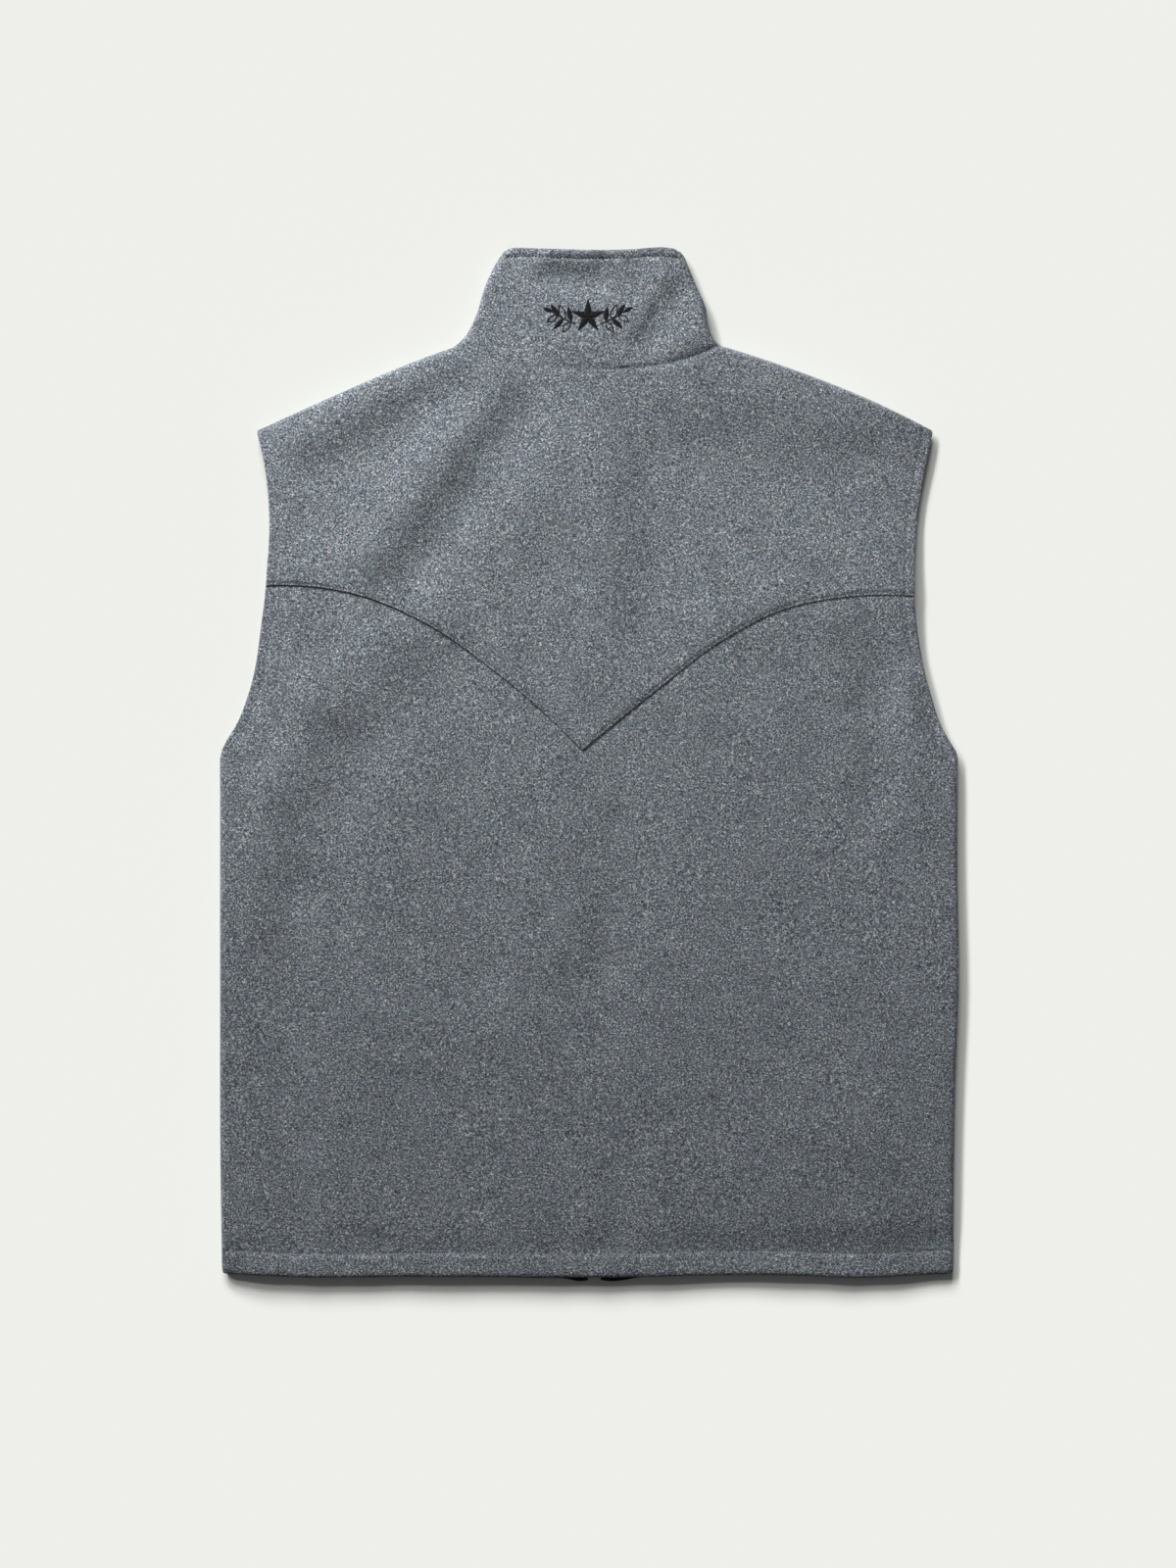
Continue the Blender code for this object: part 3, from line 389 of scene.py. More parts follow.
def smooth_step(value, low, high):
    """0 below low, 1 above high, and a soft S between them."""
    t = np.clip((value - low) / (high - low), 0.0, 1.0)
    return t * t * (3.0 - 2.0 * t)


def bell(distance, width):
    """1 at no distance, falling off on both sides as a Gaussian of that width."""
    return np.exp(-0.5 * (distance / width) ** 2)


def groove(distance, form):
    """How deep a seam or a row of stitches pulls the cloth down at a distance from it."""
    return form.depth * bell(distance, form.spread)


def armhole(height, side):
    """The x of the armhole edge at a height, on the left or the right."""
    heights = np.array([section.y for section in ARMHOLES])
    places = np.array([getattr(section, side) for section in ARMHOLES])
    return cubic(places, np.gradient(places, heights), heights, np.clip(height, heights[0], heights[-1]))


def waves_out(place, waves):
    """How far the waves push an edge out: a bell for each."""
    return sum(wave.out * bell(place - wave.at, wave.width) for wave in waves)


def side_seam(height, side):
    """The x of the fold at the side seam: a straight line with its waves, cut in at the hem corner."""
    left_hand = side == "left"
    foot = SIDE_FOOT_LEFT if left_hand else SIDE_FOOT_RIGHT
    underarm = UNDERARM_LEFT[0] if left_hand else UNDERARM_RIGHT[0]
    out = -1.0 if left_hand else 1.0
    corner = HEM_LEFT if left_hand else HEM_RIGHT
    cut = (CORNER_LEFT if left_hand else CORNER_RIGHT) * bell(height - corner[1], CORNER_SPREAD)
    straight = foot + (underarm - foot) * (height - HEM_HEIGHT) / (UNDERARM_HEIGHT - HEM_HEIGHT)
    return straight + out * (waves_out(height, LEFT_WAVES if left_hand else RIGHT_WAVES) - cut)


def hem_edge(x):
    """The y of the hem: it hangs lowest in the middle, waves a little, and rises at its corners."""
    share = (x - SIDE_FOOT_LEFT) / (SIDE_FOOT_RIGHT - SIDE_FOOT_LEFT)
    sag = HEM_SAG * 4.0 * share * (1.0 - share)
    rise_left = CORNER_LEFT * bell(x - HEM_LEFT[0], CORNER_SPREAD)
    rise_right = CORNER_RIGHT * bell(x - HEM_RIGHT[0], CORNER_SPREAD)
    return HEM_HEIGHT - sag - waves_out(x, HEM_WAVES) + (rise_left + rise_right)


def side_edge(share, side, foot, top_height, underarm_share):
    """The edge of a panel from its hem corner up the side seam and the armhole to a height."""
    below = np.clip(share / underarm_share, 0.0, 1.0)
    above = np.clip((share - underarm_share) / (1.0 - underarm_share), 0.0, 1.0)
    y = foot[1] + (UNDERARM_HEIGHT - foot[1]) * below + (top_height - UNDERARM_HEIGHT) * above
    return np.stack([np.where(share < underarm_share, side_seam(y, side), armhole(y, side)), y], axis=-1)


def patch(bottom, top, left, right, u, v):
    """A panel spread between its four edges: the sum of both rulings less the ruling of its corners."""
    u, v = u[None, :, None], v[:, None, None]
    ruled_up = bottom[None] * (1 - v) + top[None] * v
    ruled_across = left[:, None] * (1 - u) + right[:, None] * u
    corners = (bottom[0] * (1 - u) + bottom[-1] * u) * (1 - v) + (top[0] * (1 - u) + top[-1] * u) * v
    return ruled_up + ruled_across - corners


def nearest_on_paths(place, paths):
    """Distance from each place to the nearest path, and the flat direction away from it."""
    best = np.full(place.shape[:-1], 1e9)
    away = np.zeros_like(place)
    for path in paths:
        for start, end in zip(path[:-1], path[1:]):
            along = end - start
            t = np.clip(((place - start) @ along) / max(along @ along, TOUCHING), 0.0, 1.0)
            offset = place - (start + t[..., None] * along)
            distance = np.hypot(offset[..., 0], offset[..., 1])
            across = np.array([along[1], -along[0]]) / max(math.hypot(*along), TOUCHING)
            steady = np.maximum(distance, TOUCHING)[..., None]
            unit = np.where(distance[..., None] > ON_PATH, offset / steady, across)
            closer = distance < best - 1e-9
            best = np.where(closer, distance, best)
            away = np.where(closer[..., None], unit, away)
    return best, away


def distance_to(place, *paths):
    """Distance from each place to the nearest path."""
    return nearest_on_paths(place, paths)[0]


def path_of(points, steps=60):
    """Places along a smooth line, for measuring distances."""
    return smooth_line(points, np.linspace(0.0, 1.0, steps))


def side_path(side, foot):
    """Places up the fold at a side seam, close together at its rounded foot."""
    near_foot = foot[1] + SIDE_FOOT_LINES
    y = np.concatenate([near_foot, np.linspace(near_foot[-1] + SIDE_FOOT_STEP, UNDERARM_HEIGHT, 40)])
    return np.stack([side_seam(y, side), y], axis=-1)


SIDE_PATHS = [side_path("left", HEM_LEFT), side_path("right", HEM_RIGHT)[::-1]]
SHOULDER_PATHS = [path_of(SHOULDER_LEFT), path_of(SHOULDER_RIGHT)[::-1]]
BODY_FOLDS = SIDE_PATHS + SHOULDER_PATHS
COLLAR_FOLDS = [path_of(COLLAR_LEFT), path_of(COLLAR_RIGHT)[::-1]]
YOKE_PATH = np.concatenate([path_of(YOKE_LEFT, 90), path_of(YOKE_RIGHT, 90)[1:]])
NECK_PATH = path_of(BACK_NECK)
COLLAR_TOP_PATH = path_of(COLLAR_TOP, 12)
CORNERS = np.array([UNDERARM_LEFT, UNDERARM_RIGHT, SHOULDER_LEFT[0], SHOULDER_RIGHT[0]])


def hem_line(share):
    """The hem from its left to its right corner."""
    x = HEM_LEFT[0] + (HEM_RIGHT[0] - HEM_LEFT[0]) * share
    return np.stack([x, hem_edge(x)], axis=-1)


def hem_path():
    """The hem without its corners, for what lies a fixed distance above it."""
    x = np.linspace(HEM_LEFT[0] + 3.0 * CORNER_SPREAD, HEM_RIGHT[0] - 3.0 * CORNER_SPREAD, 60)
    y = hem_edge(x)
    ends = [(SIDE_FOOT_LEFT, y[0]), (SIDE_FOOT_RIGHT, y[-1])]
    return np.concatenate([[ends[0]], np.stack([x, y], axis=-1), [ends[1]]])


def armhole_path(side, steps=110):
    """The armhole edge of the back from the underarm up to the shoulder."""
    y = np.linspace(ARMHOLES[0].y, ARMHOLES[-1].y, steps)
    return np.stack([armhole(y, side), y], axis=-1)


ARMHOLE_PATHS = [armhole_path("left"), armhole_path("right")]


def fold_angle(distance, reach):
    """Angle round a fold whose section is a quarter of an ellipse: 0 on the edge, 90 degrees where flat."""
    return np.arccos(np.clip(1.0 - distance / reach, 0.0, 1.0))


def corner_softness(place):
    """The cloth is pinched a little where an armhole meets a seam."""
    gap = np.min(np.linalg.norm(place[..., None, :] - CORNERS, axis=-1), axis=-1)
    return 1.0 - CORNER_DIMPLE * np.exp(-((gap / CORNER_REACH) ** 2))


def crease_height(place):
    """Soft ridges and troughs: a bell across each crease, rounded off at its ends."""
    height = np.zeros(place.shape[:-1])
    for crease in CREASES:
        line = np.array([(crease.x0, crease.y0), (crease.x1, crease.y1)])
        height += crease.depth * bell(distance_to(place, line), crease.width)
    return height


def slack_height(place, slacks):
    """Random slackness: seeded heights on a lattice, with a soft S between its corners."""
    height = np.zeros(place.shape[:-1])
    for slack in slacks:
        count = int(FIELD_SIZE / slack.cell) + 3
        lattice = np.random.default_rng(slack.seed).uniform(-1.0, 1.0, (count, count))
        cell_size = slack.cell * np.array([1.0, slack.stretch])
        spot = np.clip((place - FIELD_CORNER) / cell_size, 0.0, count - 2.001)
        cell = spot.astype(int)
        t = spot - cell
        t = t * t * (3.0 - 2.0 * t)
        x, y = cell[..., 0], cell[..., 1]
        low = lattice[y, x] * (1 - t[..., 0]) + lattice[y, x + 1] * t[..., 0]
        high = lattice[y + 1, x] * (1 - t[..., 0]) + lattice[y + 1, x + 1] * t[..., 0]
        height += slack.height * (low * (1 - t[..., 1]) + high * t[..., 1])
    return height


def zip_lift(place):
    """How far the slider lifts the front layer off the table, near the top of the centre front."""
    up = smooth_step(place[..., 1], LIFT_START, LIFT_END)
    near = 1.0 - smooth_step(np.abs(place[..., 0] - CENTRE_FRONT), LIFT_NEAR, LIFT_FAR)
    return LIFT * up * near


def back_top(place):
    """Height of the back layer's outer face away from the folded edges, never below the front's layer."""
    y = place[..., 1]
    up = smooth_step(y, BUMP_START, LIFT_END) * (1.0 - smooth_step(y, BUMP_FADE, BUMP_END))
    near = 1.0 - smooth_step(np.abs(place[..., 0] - CENTRE_FRONT), LIFT_NEAR, BUMP_FAR)
    hanging = 1.0 - smooth_step(y, LONG_SLACK_FULL, LONG_SLACK_TOP)
    slack = slack_height(place, SLACKS) + hanging * slack_height(place, LONG_SLACKS)
    height = TOP_HEIGHT + BACK_BUMP * up * near + crease_height(place) + slack
    return LOWEST_TOP + np.log1p(np.exp((height - LOWEST_TOP) * TOP_SOFTNESS)) / TOP_SOFTNESS


def side_lift(place):
    """How much higher the fold of the right side stands, most of all halfway down it."""
    near = smooth_step(place[..., 0], SIDE_LIFT_NEAR, SIDE_LIFT_FAR)
    return SIDE_LIFT * near * bell(place[..., 1] - SIDE_LIFT_HEIGHT, SIDE_LIFT_SPREAD)


def inward_wall(wall, angle, away, up):
    """The step from the outer to the inner face: sideways on the edge of a fold, straight where flat."""
    flat_step = away * (wall * np.cos(angle))[..., None]
    return np.dstack([flat_step, up * wall * np.sin(angle)])


def back_heights(place):
    """Outer face of the back layer, and the angle and direction of the fold that each place is near."""
    distance, away = nearest_on_paths(place, BODY_FOLDS)
    angle = fold_angle(distance, FOLD_REACH)
    lift = side_lift(place)
    base = FOLD_HEIGHT + SEAM_GAP / 2 + lift
    full = back_top(place) + SIDE_LIFT_ON_TOP * lift
    return base + (full - base) * np.sin(angle) * corner_softness(place), angle, away


def hem_relief(place):
    """The turned hem: it stands a little proud of the cloth, and its stitching pulls a groove."""
    distance = distance_to(place, hem_path())
    x = place[..., 0]
    drift = RIPPLE_DRIFT * np.sin(x / RIPPLE_DRIFT_LENGTH)
    swell = HEM_SWELL + HEM_RIPPLE * np.sin(x / RIPPLE_LENGTH + drift)
    return swell * (1.0 - smooth_step(distance, *HEM_FADE)) - groove(distance - HEM_DEPTH, HEM_GROOVE)


def armhole_relief(place):
    """The layer sinks towards the armhole, and the stitching of the turned edge pulls a groove."""
    distance = distance_to(place, *ARMHOLE_PATHS)
    drop = ARMHOLE_DROP * bell(distance, ARMHOLE_DROP_REACH)
    stitched = groove(distance - ARMHOLE_BAND, ARMHOLE_GROOVE)
    return -(drop + stitched) * smooth_step(place[..., 1], *ARMHOLE_FADE)


def lower_back_surface(place):
    """Outer face of the lower back: the back layer with its turned edges, and a bed for the yoke's edge."""
    height, angle, away = back_heights(place)
    bed = BED_DEPTH * bell(distance_to(place, YOKE_PATH), BED_REACH)
    relief = hem_relief(place) + armhole_relief(place) - bed
    return height + relief * np.sin(angle) ** 2, angle, away


def yoke_surface(place):
    """Outer face of the yoke: the back layer, raised over the lap and pressed down at its edge."""
    height, angle, away = back_heights(place)
    from_edge = distance_to(place, YOKE_PATH)
    lap = 1.0 - smooth_step(from_edge, LAP_DEPTH, LAP_DEPTH + LAP_FADE)
    to_right = smooth_step(place[..., 0], *YOKE_RIGHT_PART)
    press = EDGE_PRESS + EDGE_PRESS_ENDS * (to_right + smooth_step(-place[..., 0], *YOKE_LEFT_PART))
    pressed = press * bell(from_edge, EDGE_PRESS_REACH) + groove(from_edge - YOKE_BAND, YOKE_GROOVE)
    seam_depth = YOKE_SEAM.depth + YOKE_SEAM_AT_RIGHT * to_right
    seam = seam_depth * bell(distance_to(place, NECK_PATH), YOKE_SEAM.spread)
    height = height + lap * LAP_RISE - pressed - seam
    return height + armhole_relief(place) * np.sin(angle) ** 2, angle, away, from_edge


def neck_dip(place):
    """The collar sinks towards its seam, most of all at the right, where the shoulder stands over it."""
    distance = distance_to(place, NECK_PATH)
    to_right = smooth_step(place[..., 0], *COLLAR_RIGHT_PART)
    seam = (COLLAR_SEAM.depth + COLLAR_SEAM_AT_RIGHT * to_right) * bell(distance, COLLAR_SEAM.spread)
    return seam + to_right**2 * groove(distance, COLLAR_HOLLOW)


def collar_top(place):
    """Outer face of the back of the collar away from its folds, with the groove of its stitching."""
    stitched = groove(distance_to(place, COLLAR_TOP_PATH) - COLLAR_BAND, COLLAR_GROOVE)
    return back_top(place) + (-neck_dip(place) - stitched)


def lines_from_edge(lines, width):
    """Shares of a width for grid lines at those distances from its near edge."""
    return np.asarray(lines) / width


def join_steps(*groups):
    """All the shares in rising order, without doubles."""
    return np.unique(np.round(np.concatenate([np.atleast_1d(group) for group in groups]), 6))


def even_steps(low, high, length, step=CLOTH_STEP):
    """Evenly spaced shares from low to high of a length, about one step apart."""
    return np.linspace(low, high, 2 + int((high - low) * length / step))


def rounded(outer, inner, edges, radius):
    """Bring the two faces together along cut edges.

    Half the wall is multiplied by the square root of 1 less (1 - distance / radius) squared.
    """
    distance = distance_to(outer[..., :2], *edges)
    share = np.sqrt(1.0 - (1.0 - np.clip(distance / radius, 0.0, 1.0)) ** 2)[..., None]
    middle = (outer + inner) / 2
    return middle + (outer - middle) * share, middle + (inner - middle) * share


def cloth_wall(name, outer, inner, materials, inner_slots=None):
    """A closed wall: the outer grid, the inner grid, and a strip round their border.

    Where the two grids meet on a rounded edge their points are merged, and the strip vanishes.
    """
    rows, columns = outer.shape[:2]
    count = rows * columns
    index = np.arange(count).reshape(rows, columns)
    corners = [index[:-1, :-1], index[:-1, 1:], index[1:, 1:], index[1:, :-1]]
    quads = np.stack(corners, axis=-1).reshape(-1, 4)
    ring = np.concatenate([index[0, :-1], index[:-1, -1], index[-1, :0:-1], index[:0:-1, 0]])
    after = np.roll(ring, -1)
    rim = np.stack([ring, ring + count, after + count, after], axis=-1)
    places = np.concatenate([outer.reshape(-1, 3), inner.reshape(-1, 3)]) * MM
    slots = np.zeros(len(quads) * 2 + len(rim), int)
    if inner_slots is not None:
        slots[len(quads) : 2 * len(quads)] = inner_slots[:-1, :-1].reshape(-1)
    faces = np.concatenate([quads, quads[:, ::-1] + count, rim])
    return shell(name, places, faces, materials, slots)


def merge_doubles(bm, distance=CLOTH_MERGE):
    """Merge the points that lie on each other."""
    bmesh.ops.remove_doubles(bm, verts=bm.verts[:], dist=distance)


def simplify(bm):
    """Merge the doubles of a hard piece and join the faces that lie in one plane."""
    merge_doubles(bm, SOLID_MERGE)
    flat = math.radians(FLAT_ANGLE)
    bmesh.ops.dissolve_limit(bm, angle_limit=flat, verts=bm.verts[:], edges=bm.edges[:])


def close_ends(bm):
    """Close the open ends of the stitches."""
    rims = [edge for edge in bm.edges if edge.is_boundary]
    bmesh.ops.holes_fill(bm, edges=rims, sides=STITCH_SIDES)


def edit_mesh(mesh, change):
    """Change a mesh, and turn its faces outwards."""
    bm = bmesh.new()
    bm.from_mesh(mesh)
    change(bm)
    bmesh.ops.recalc_face_normals(bm, faces=bm.faces[:])
    bm.to_mesh(mesh)
    bm.free()


def in_scene(name, data):
    """An object in the scene that holds a mesh, a light or a camera."""
    made = bpy.data.objects.new(name, data)
    bpy.context.scene.collection.objects.link(made)
    return made


def shell(name, places, faces, materials, slots=None):
    """An object with its doubles merged and its faces turned outwards."""
    mesh = bpy.data.meshes.new(name)
    mesh.from_pydata(places.tolist(), [], faces.tolist())
    for material in materials:
        mesh.materials.append(material)
    if slots is not None:
        mesh.polygons.foreach_set("material_index", slots.astype(np.int32))
    edit_mesh(mesh, merge_doubles)
    mesh.shade_smooth()
    mesh.set_sharp_from_angle(angle=math.radians(SHARP_ANGLE))
    return in_scene(name, mesh)


def yoke_line(share, rise=0.0):
    """The pointed yoke edge from left to right, or its lap line a little higher up."""
    x_left, x_tip, x_right = YOKE_LEFT[0].x, YOKE_LEFT[-1].x, YOKE_RIGHT[-1].x
    x = x_left + (x_right - x_left) * share
    dense_left = smooth_line(YOKE_LEFT, np.linspace(0.0, 1.0, 200))
    dense_right = smooth_line(YOKE_RIGHT, np.linspace(0.0, 1.0, 200))
    y = np.where(
        x < x_tip,
        np.interp(x, dense_left[:, 0], dense_left[:, 1]),
        np.interp(x, dense_right[:, 0], dense_right[:, 1]),
    )
    return np.stack([x, y + rise], axis=-1)


def lap_line(share):
    """The upper edge of the lower back, under the yoke, from armhole to armhole."""
    ends = yoke_line(np.array([0.0, 1.0]), LAP_DEPTH)
    x_left, x_right = armhole(ends[0, 1], "left"), armhole(ends[1, 1], "right")
    x = x_left + (x_right - x_left) * share
    line = yoke_line(np.linspace(0.0, 1.0, 600), LAP_DEPTH)
    return np.stack([x, np.interp(x, line[:, 0], line[:, 1])], axis=-1)


YOKE_TIP_SHARE = (YOKE_LEFT[-1].x - YOKE_LEFT[0].x) / (YOKE_RIGHT[-1].x - YOKE_LEFT[0].x)


def make_lower_back(wool):
    """The lower back: from the turned hem up the sides and armholes, and on under the yoke."""
    underarm_share = BACK_UNDERARM
    width = HEM_RIGHT[0] - HEM_LEFT[0]
    near = lines_from_edge(EDGE_LINES, width)
    u = join_steps(near, 1.0 - near, even_steps(*BACK_EVEN, width), YOKE_TIP_SHARE)
    below = UNDERARM_HEIGHT - HEM_LEFT[1]
    hem = np.concatenate([HEM_LINES, HEM_DEPTH + STITCH_LINES]) / below * underarm_share
    v = join_steps(
        hem,
        even_steps(0.045, underarm_share, below / underarm_share),
        even_steps(underarm_share + 0.006, 1.0, 170.0 / (1.0 - underarm_share)),
    )
    top = lap_line(u)
    bottom = hem_line(u)
    left = side_edge(v, "left", HEM_LEFT, top[0, 1], underarm_share)
    right = side_edge(v, "right", HEM_RIGHT, top[-1, 1], underarm_share)
    place = patch(bottom, top, left, right, u, v)
    height, angle, away = lower_back_surface(place)
    from_hem = place[..., 1] - bottom[None, :, 1]
    turned = HEM_EXTRA * (1.0 - smooth_step(from_hem, *HEM_TURN)) * np.sin(angle) ** 4
    outer = np.dstack([place, height])
    inner = outer + inward_wall(WALL + turned, angle, away, -1.0)
    open_sides = [left[left[:, 1] >= UNDERARM_HEIGHT], right[right[:, 1] >= UNDERARM_HEIGHT]]
    outer, inner = rounded(outer, inner, open_sides, WALL / 2)
    outer, inner = rounded(outer, inner, [bottom], HEM_ROUND)
    return cloth_wall("lower_back_cloth", outer, inner, [wool])


def make_yoke(wool):
    """The yoke: from its pointed edge, which laps over the lower back, up to the shoulders and the neck."""
    neck_left, neck_right = YOKE_NECK
    width = YOKE_RIGHT[-1].x - YOKE_LEFT[0].x
    near = lines_from_edge(EDGE_LINES, width)
    u = join_steps(
        near,
        1.0 - near,
        even_steps(*YOKE_EVEN, width),
        YOKE_TIP_SHARE,
        neck_left + NECK_SHARES,
        neck_right - NECK_SHARES,
    )
    side_height = SHOULDER_LEFT[0].y - YOKE_LEFT[0].y
    foot = lines_from_edge(YOKE_EDGE_LINES, side_height)
    near_top = 1.0 - lines_from_edge(EDGE_LINES[:10], side_height)
    v = join_steps(foot, even_steps(*YOKE_EVEN_UP, 240.0), near_top)
    shoulder_left = smooth_line(SHOULDER_LEFT, np.clip(u / neck_left, 0.0, 1.0))
    shoulder_right = smooth_line(SHOULDER_RIGHT, np.clip((1.0 - u) / (1.0 - neck_right), 0.0, 1.0))
    neck_edge = smooth_line(BACK_NECK, np.clip((u - neck_left) / (neck_right - neck_left), 0.0, 1.0))
    top = np.where((u < neck_left)[:, None], shoulder_left, neck_edge)
    top = np.where((u > neck_right)[:, None], shoulder_right, top)
    bottom = yoke_line(u)
    left = armhole_edge("left", bottom[0], top[0], v)
    right = armhole_edge("right", bottom[-1], top[-1], v)
    place = patch(bottom, top, left, right, u, v)
    height, angle, away, from_edge = yoke_surface(place)
    wall = WALL - YOKE_THINNING * (1.0 - smooth_step(from_edge, LAP_DEPTH, THINNING_REACH))
    outer = np.dstack([place, height])
    inner = outer + inward_wall(wall, angle, away, -1.0)
    outer, inner = rounded(outer, inner, [left, right], WALL / 2)
    outer, inner = rounded(outer, inner, [bottom], YOKE_EDGE_ROUND)
    return cloth_wall("yoke_cloth", outer, inner, [wool])


def armhole_edge(side, foot, head, v):
    """Places up an armhole from one height to another."""
    y = foot[1] + (head[1] - foot[1]) * v
    edge = np.stack([armhole(y, side), y], axis=-1)
    edge[:, 0] += (foot[0] - edge[0, 0]) * bell(y - foot[1], FOOT_BLEND)
    edge[0], edge[-1] = foot, head
    return edge


def make_front(side, wool, lining_and_shade):
    """One front, from its hem to its shoulder and neckline. Its outer face lies on the table."""
    left_hand = side == "left"
    sign = -1.0 if left_hand else 1.0
    shoulder = SHOULDER_LEFT if left_hand else SHOULDER_RIGHT
    neckline = NECKLINE_LEFT if left_hand else NECKLINE_RIGHT
    foot = HEM_LEFT if left_hand else HEM_RIGHT
    neck_share, underarm_share = FRONT_NECK, FRONT_UNDERARM
    centre_x = CENTRE_FRONT + sign * FRONT_EDGE
    centre_foot = (centre_x, hem_edge(centre_x) + FRONT_HEM_RISE)
    width = abs(centre_foot[0] - foot[0])
    near = lines_from_edge(EDGE_LINES[:10], width)
    u = join_steps(
        near,
        even_steps(0.03, neck_share, width, FRONT_STEP),
        neck_share + np.array([0.002, 0.006, 0.012]),
        even_steps(neck_share + 0.02, 0.97, width, FRONT_STEP),
        1.0 - near,
    )
    below = UNDERARM_HEIGHT - foot[1]
    side_height = shoulder[0].y - UNDERARM_HEIGHT
    near_top = 1.0 - lines_from_edge(EDGE_LINES[:10], side_height) * (1.0 - underarm_share)
    hem = np.concatenate([HEM_LINES, HEM_DEPTH + STITCH_LINES]) / below * underarm_share
    v = join_steps(
        hem,
        even_steps(0.036, underarm_share, below / underarm_share, FRONT_STEP),
        even_steps(underarm_share + 0.005, 0.97, side_height / (1.0 - underarm_share), FRONT_STEP),
        near_top,
    )
    share_neck = np.clip((u - neck_share) / (1.0 - neck_share), 0.0, 1.0)
    on_shoulder = (u <= neck_share)[:, None]
    shoulder_line = smooth_line(shoulder, np.clip(u / neck_share, 0.0, 1.0))
    top = np.where(on_shoulder, shoulder_line, smooth_line(neckline, share_neck))
    across = foot[0] + (centre_x - foot[0]) * u
    rise = FRONT_HEM_RISE * (1.0 - bell(across - foot[0], 4.0 * CORNER_SPREAD))
    bottom = np.stack([across, hem_edge(across) + rise], axis=-1)
    edge = side_edge(v, side, foot, shoulder[0].y, underarm_share)
    peep = FRONT_ARMHOLE_PEEP * bell(edge[:, 1] - PEEP_HEIGHT, PEEP_REACH)
    edge[:, 0] += sign * peep * smooth_step(edge[:, 1], *PEEP_FADE)
    edge[-1] = shoulder[0]
    centre_y = centre_foot[1] + (top[-1, 1] - centre_foot[1]) * v
    centre = np.stack([np.full_like(v, centre_foot[0]), centre_y], axis=-1)
    place = patch(bottom, top, edge, centre, u, v)
    distance, away = nearest_on_paths(place, BODY_FOLDS)
    angle = fold_angle(distance, FOLD_REACH)
    base = FOLD_HEIGHT - SEAM_GAP / 2 + side_lift(place)
    height = base + (zip_lift(place) - base) * np.sin(angle) * corner_softness(place)
    outer = np.dstack([place, height])
    inner = outer + inward_wall(np.full_like(height, WALL), angle, away, 1.0)
    open_side = edge[edge[:, 1] >= UNDERARM_HEIGHT]
    outer, inner = rounded(outer, inner, [bottom, open_side, centre], WALL / 2.4)
    # The inner face near the open armhole takes the black lining. On the sliver that peeps past the back,
    # this black is painted shade.
    slots = (distance_to(place, open_side) < ARMHOLE_LINING_AND_SHADE).astype(int)
    return cloth_wall(f"front_{side}_cloth", outer, inner, [wool, lining_and_shade], slots)


def make_collar(wool):
    """The stand collar: one band from the left centre front, round the back, to the right centre front."""
    height_of_band = COLLAR_TOP[0].y - BACK_NECK[0].y
    first = NECK_SEAM_GAP / height_of_band
    t = join_steps(
        first + COLLAR_FOOT_SHARES,
        even_steps(*COLLAR_EVEN_UP, height_of_band, COLLAR_STEP_UP),
        1.0 - lines_from_edge(EDGE_LINES, height_of_band + 12.0),
    )
    back_length = 200.0
    near = lines_from_edge(EDGE_LINES[:10], back_length)
    back_w = join_steps(near, 1.0 - near, even_steps(*COLLAR_EVEN, back_length, COLLAR_STEP_ACROSS))
    front_length = 150.0
    near = lines_from_edge(EDGE_LINES[:10], front_length)
    front_w = join_steps(near, 1.0 - near, even_steps(*COLLAR_FRONT_EVEN, front_length, COLLAR_FRONT_STEP))
    back = patch(
        smooth_line(BACK_NECK, back_w),
        smooth_line(COLLAR_TOP, back_w),
        smooth_line(COLLAR_LEFT, t),
        smooth_line(COLLAR_RIGHT, t),
        back_w,
        t,
    )
    fronts = []
    for fold, neckline, top, sign in (
        (COLLAR_LEFT, NECKLINE_LEFT, FRONT_TOP_LEFT, -1.0),
        (COLLAR_RIGHT, NECKLINE_RIGHT, FRONT_TOP_RIGHT, 1.0),
    ):
        x = np.full_like(t, CENTRE_FRONT + sign * FRONT_EDGE)
        centre = np.stack([x, FRONT_NECK_HEIGHT + (FRONT_COLLAR_TOP - FRONT_NECK_HEIGHT) * t], axis=-1)
        seam, edge = smooth_line(neckline, front_w), smooth_line(top, front_w)
        fronts.append(patch(seam, edge, smooth_line(fold, t), centre, front_w, t))
    place = np.concatenate([fronts[0][:, :0:-1], back, fronts[1][:, 1:]], axis=1)
    front_count = len(front_w) - 1
    layer = np.concatenate([-np.ones(front_count), np.ones(len(back_w)), -np.ones(front_count)])
    distance, away = nearest_on_paths(place, COLLAR_FOLDS)
    along_seam = seam_direction(place[0], front_count, len(back_w))
    for row, share in enumerate(SEAM_TURNS):
        away[row] = along_seam * share + away[row] * (1.0 - share)
        away[row] /= np.linalg.norm(away[row], axis=1)[:, None]
    angle = fold_angle(distance, COLLAR_FOLD_REACH) * layer
    flat = np.where(layer > 0.0, collar_top(place), 2.0 * FOLD_HEIGHT - zip_lift(place))
    z = FOLD_HEIGHT + (flat - FOLD_HEIGHT) * np.sin(angle)
    outer = np.dstack([place, z])
    inner = outer + inward_wall(np.full_like(z, COLLAR_WALL), angle, away, -1.0)
    outer, inner = rounded(outer, inner, [place[-1], place[:, 0], place[:, -1]], COLLAR_WALL / 2)
    return cloth_wall("collar_cloth", outer, inner, [wool])


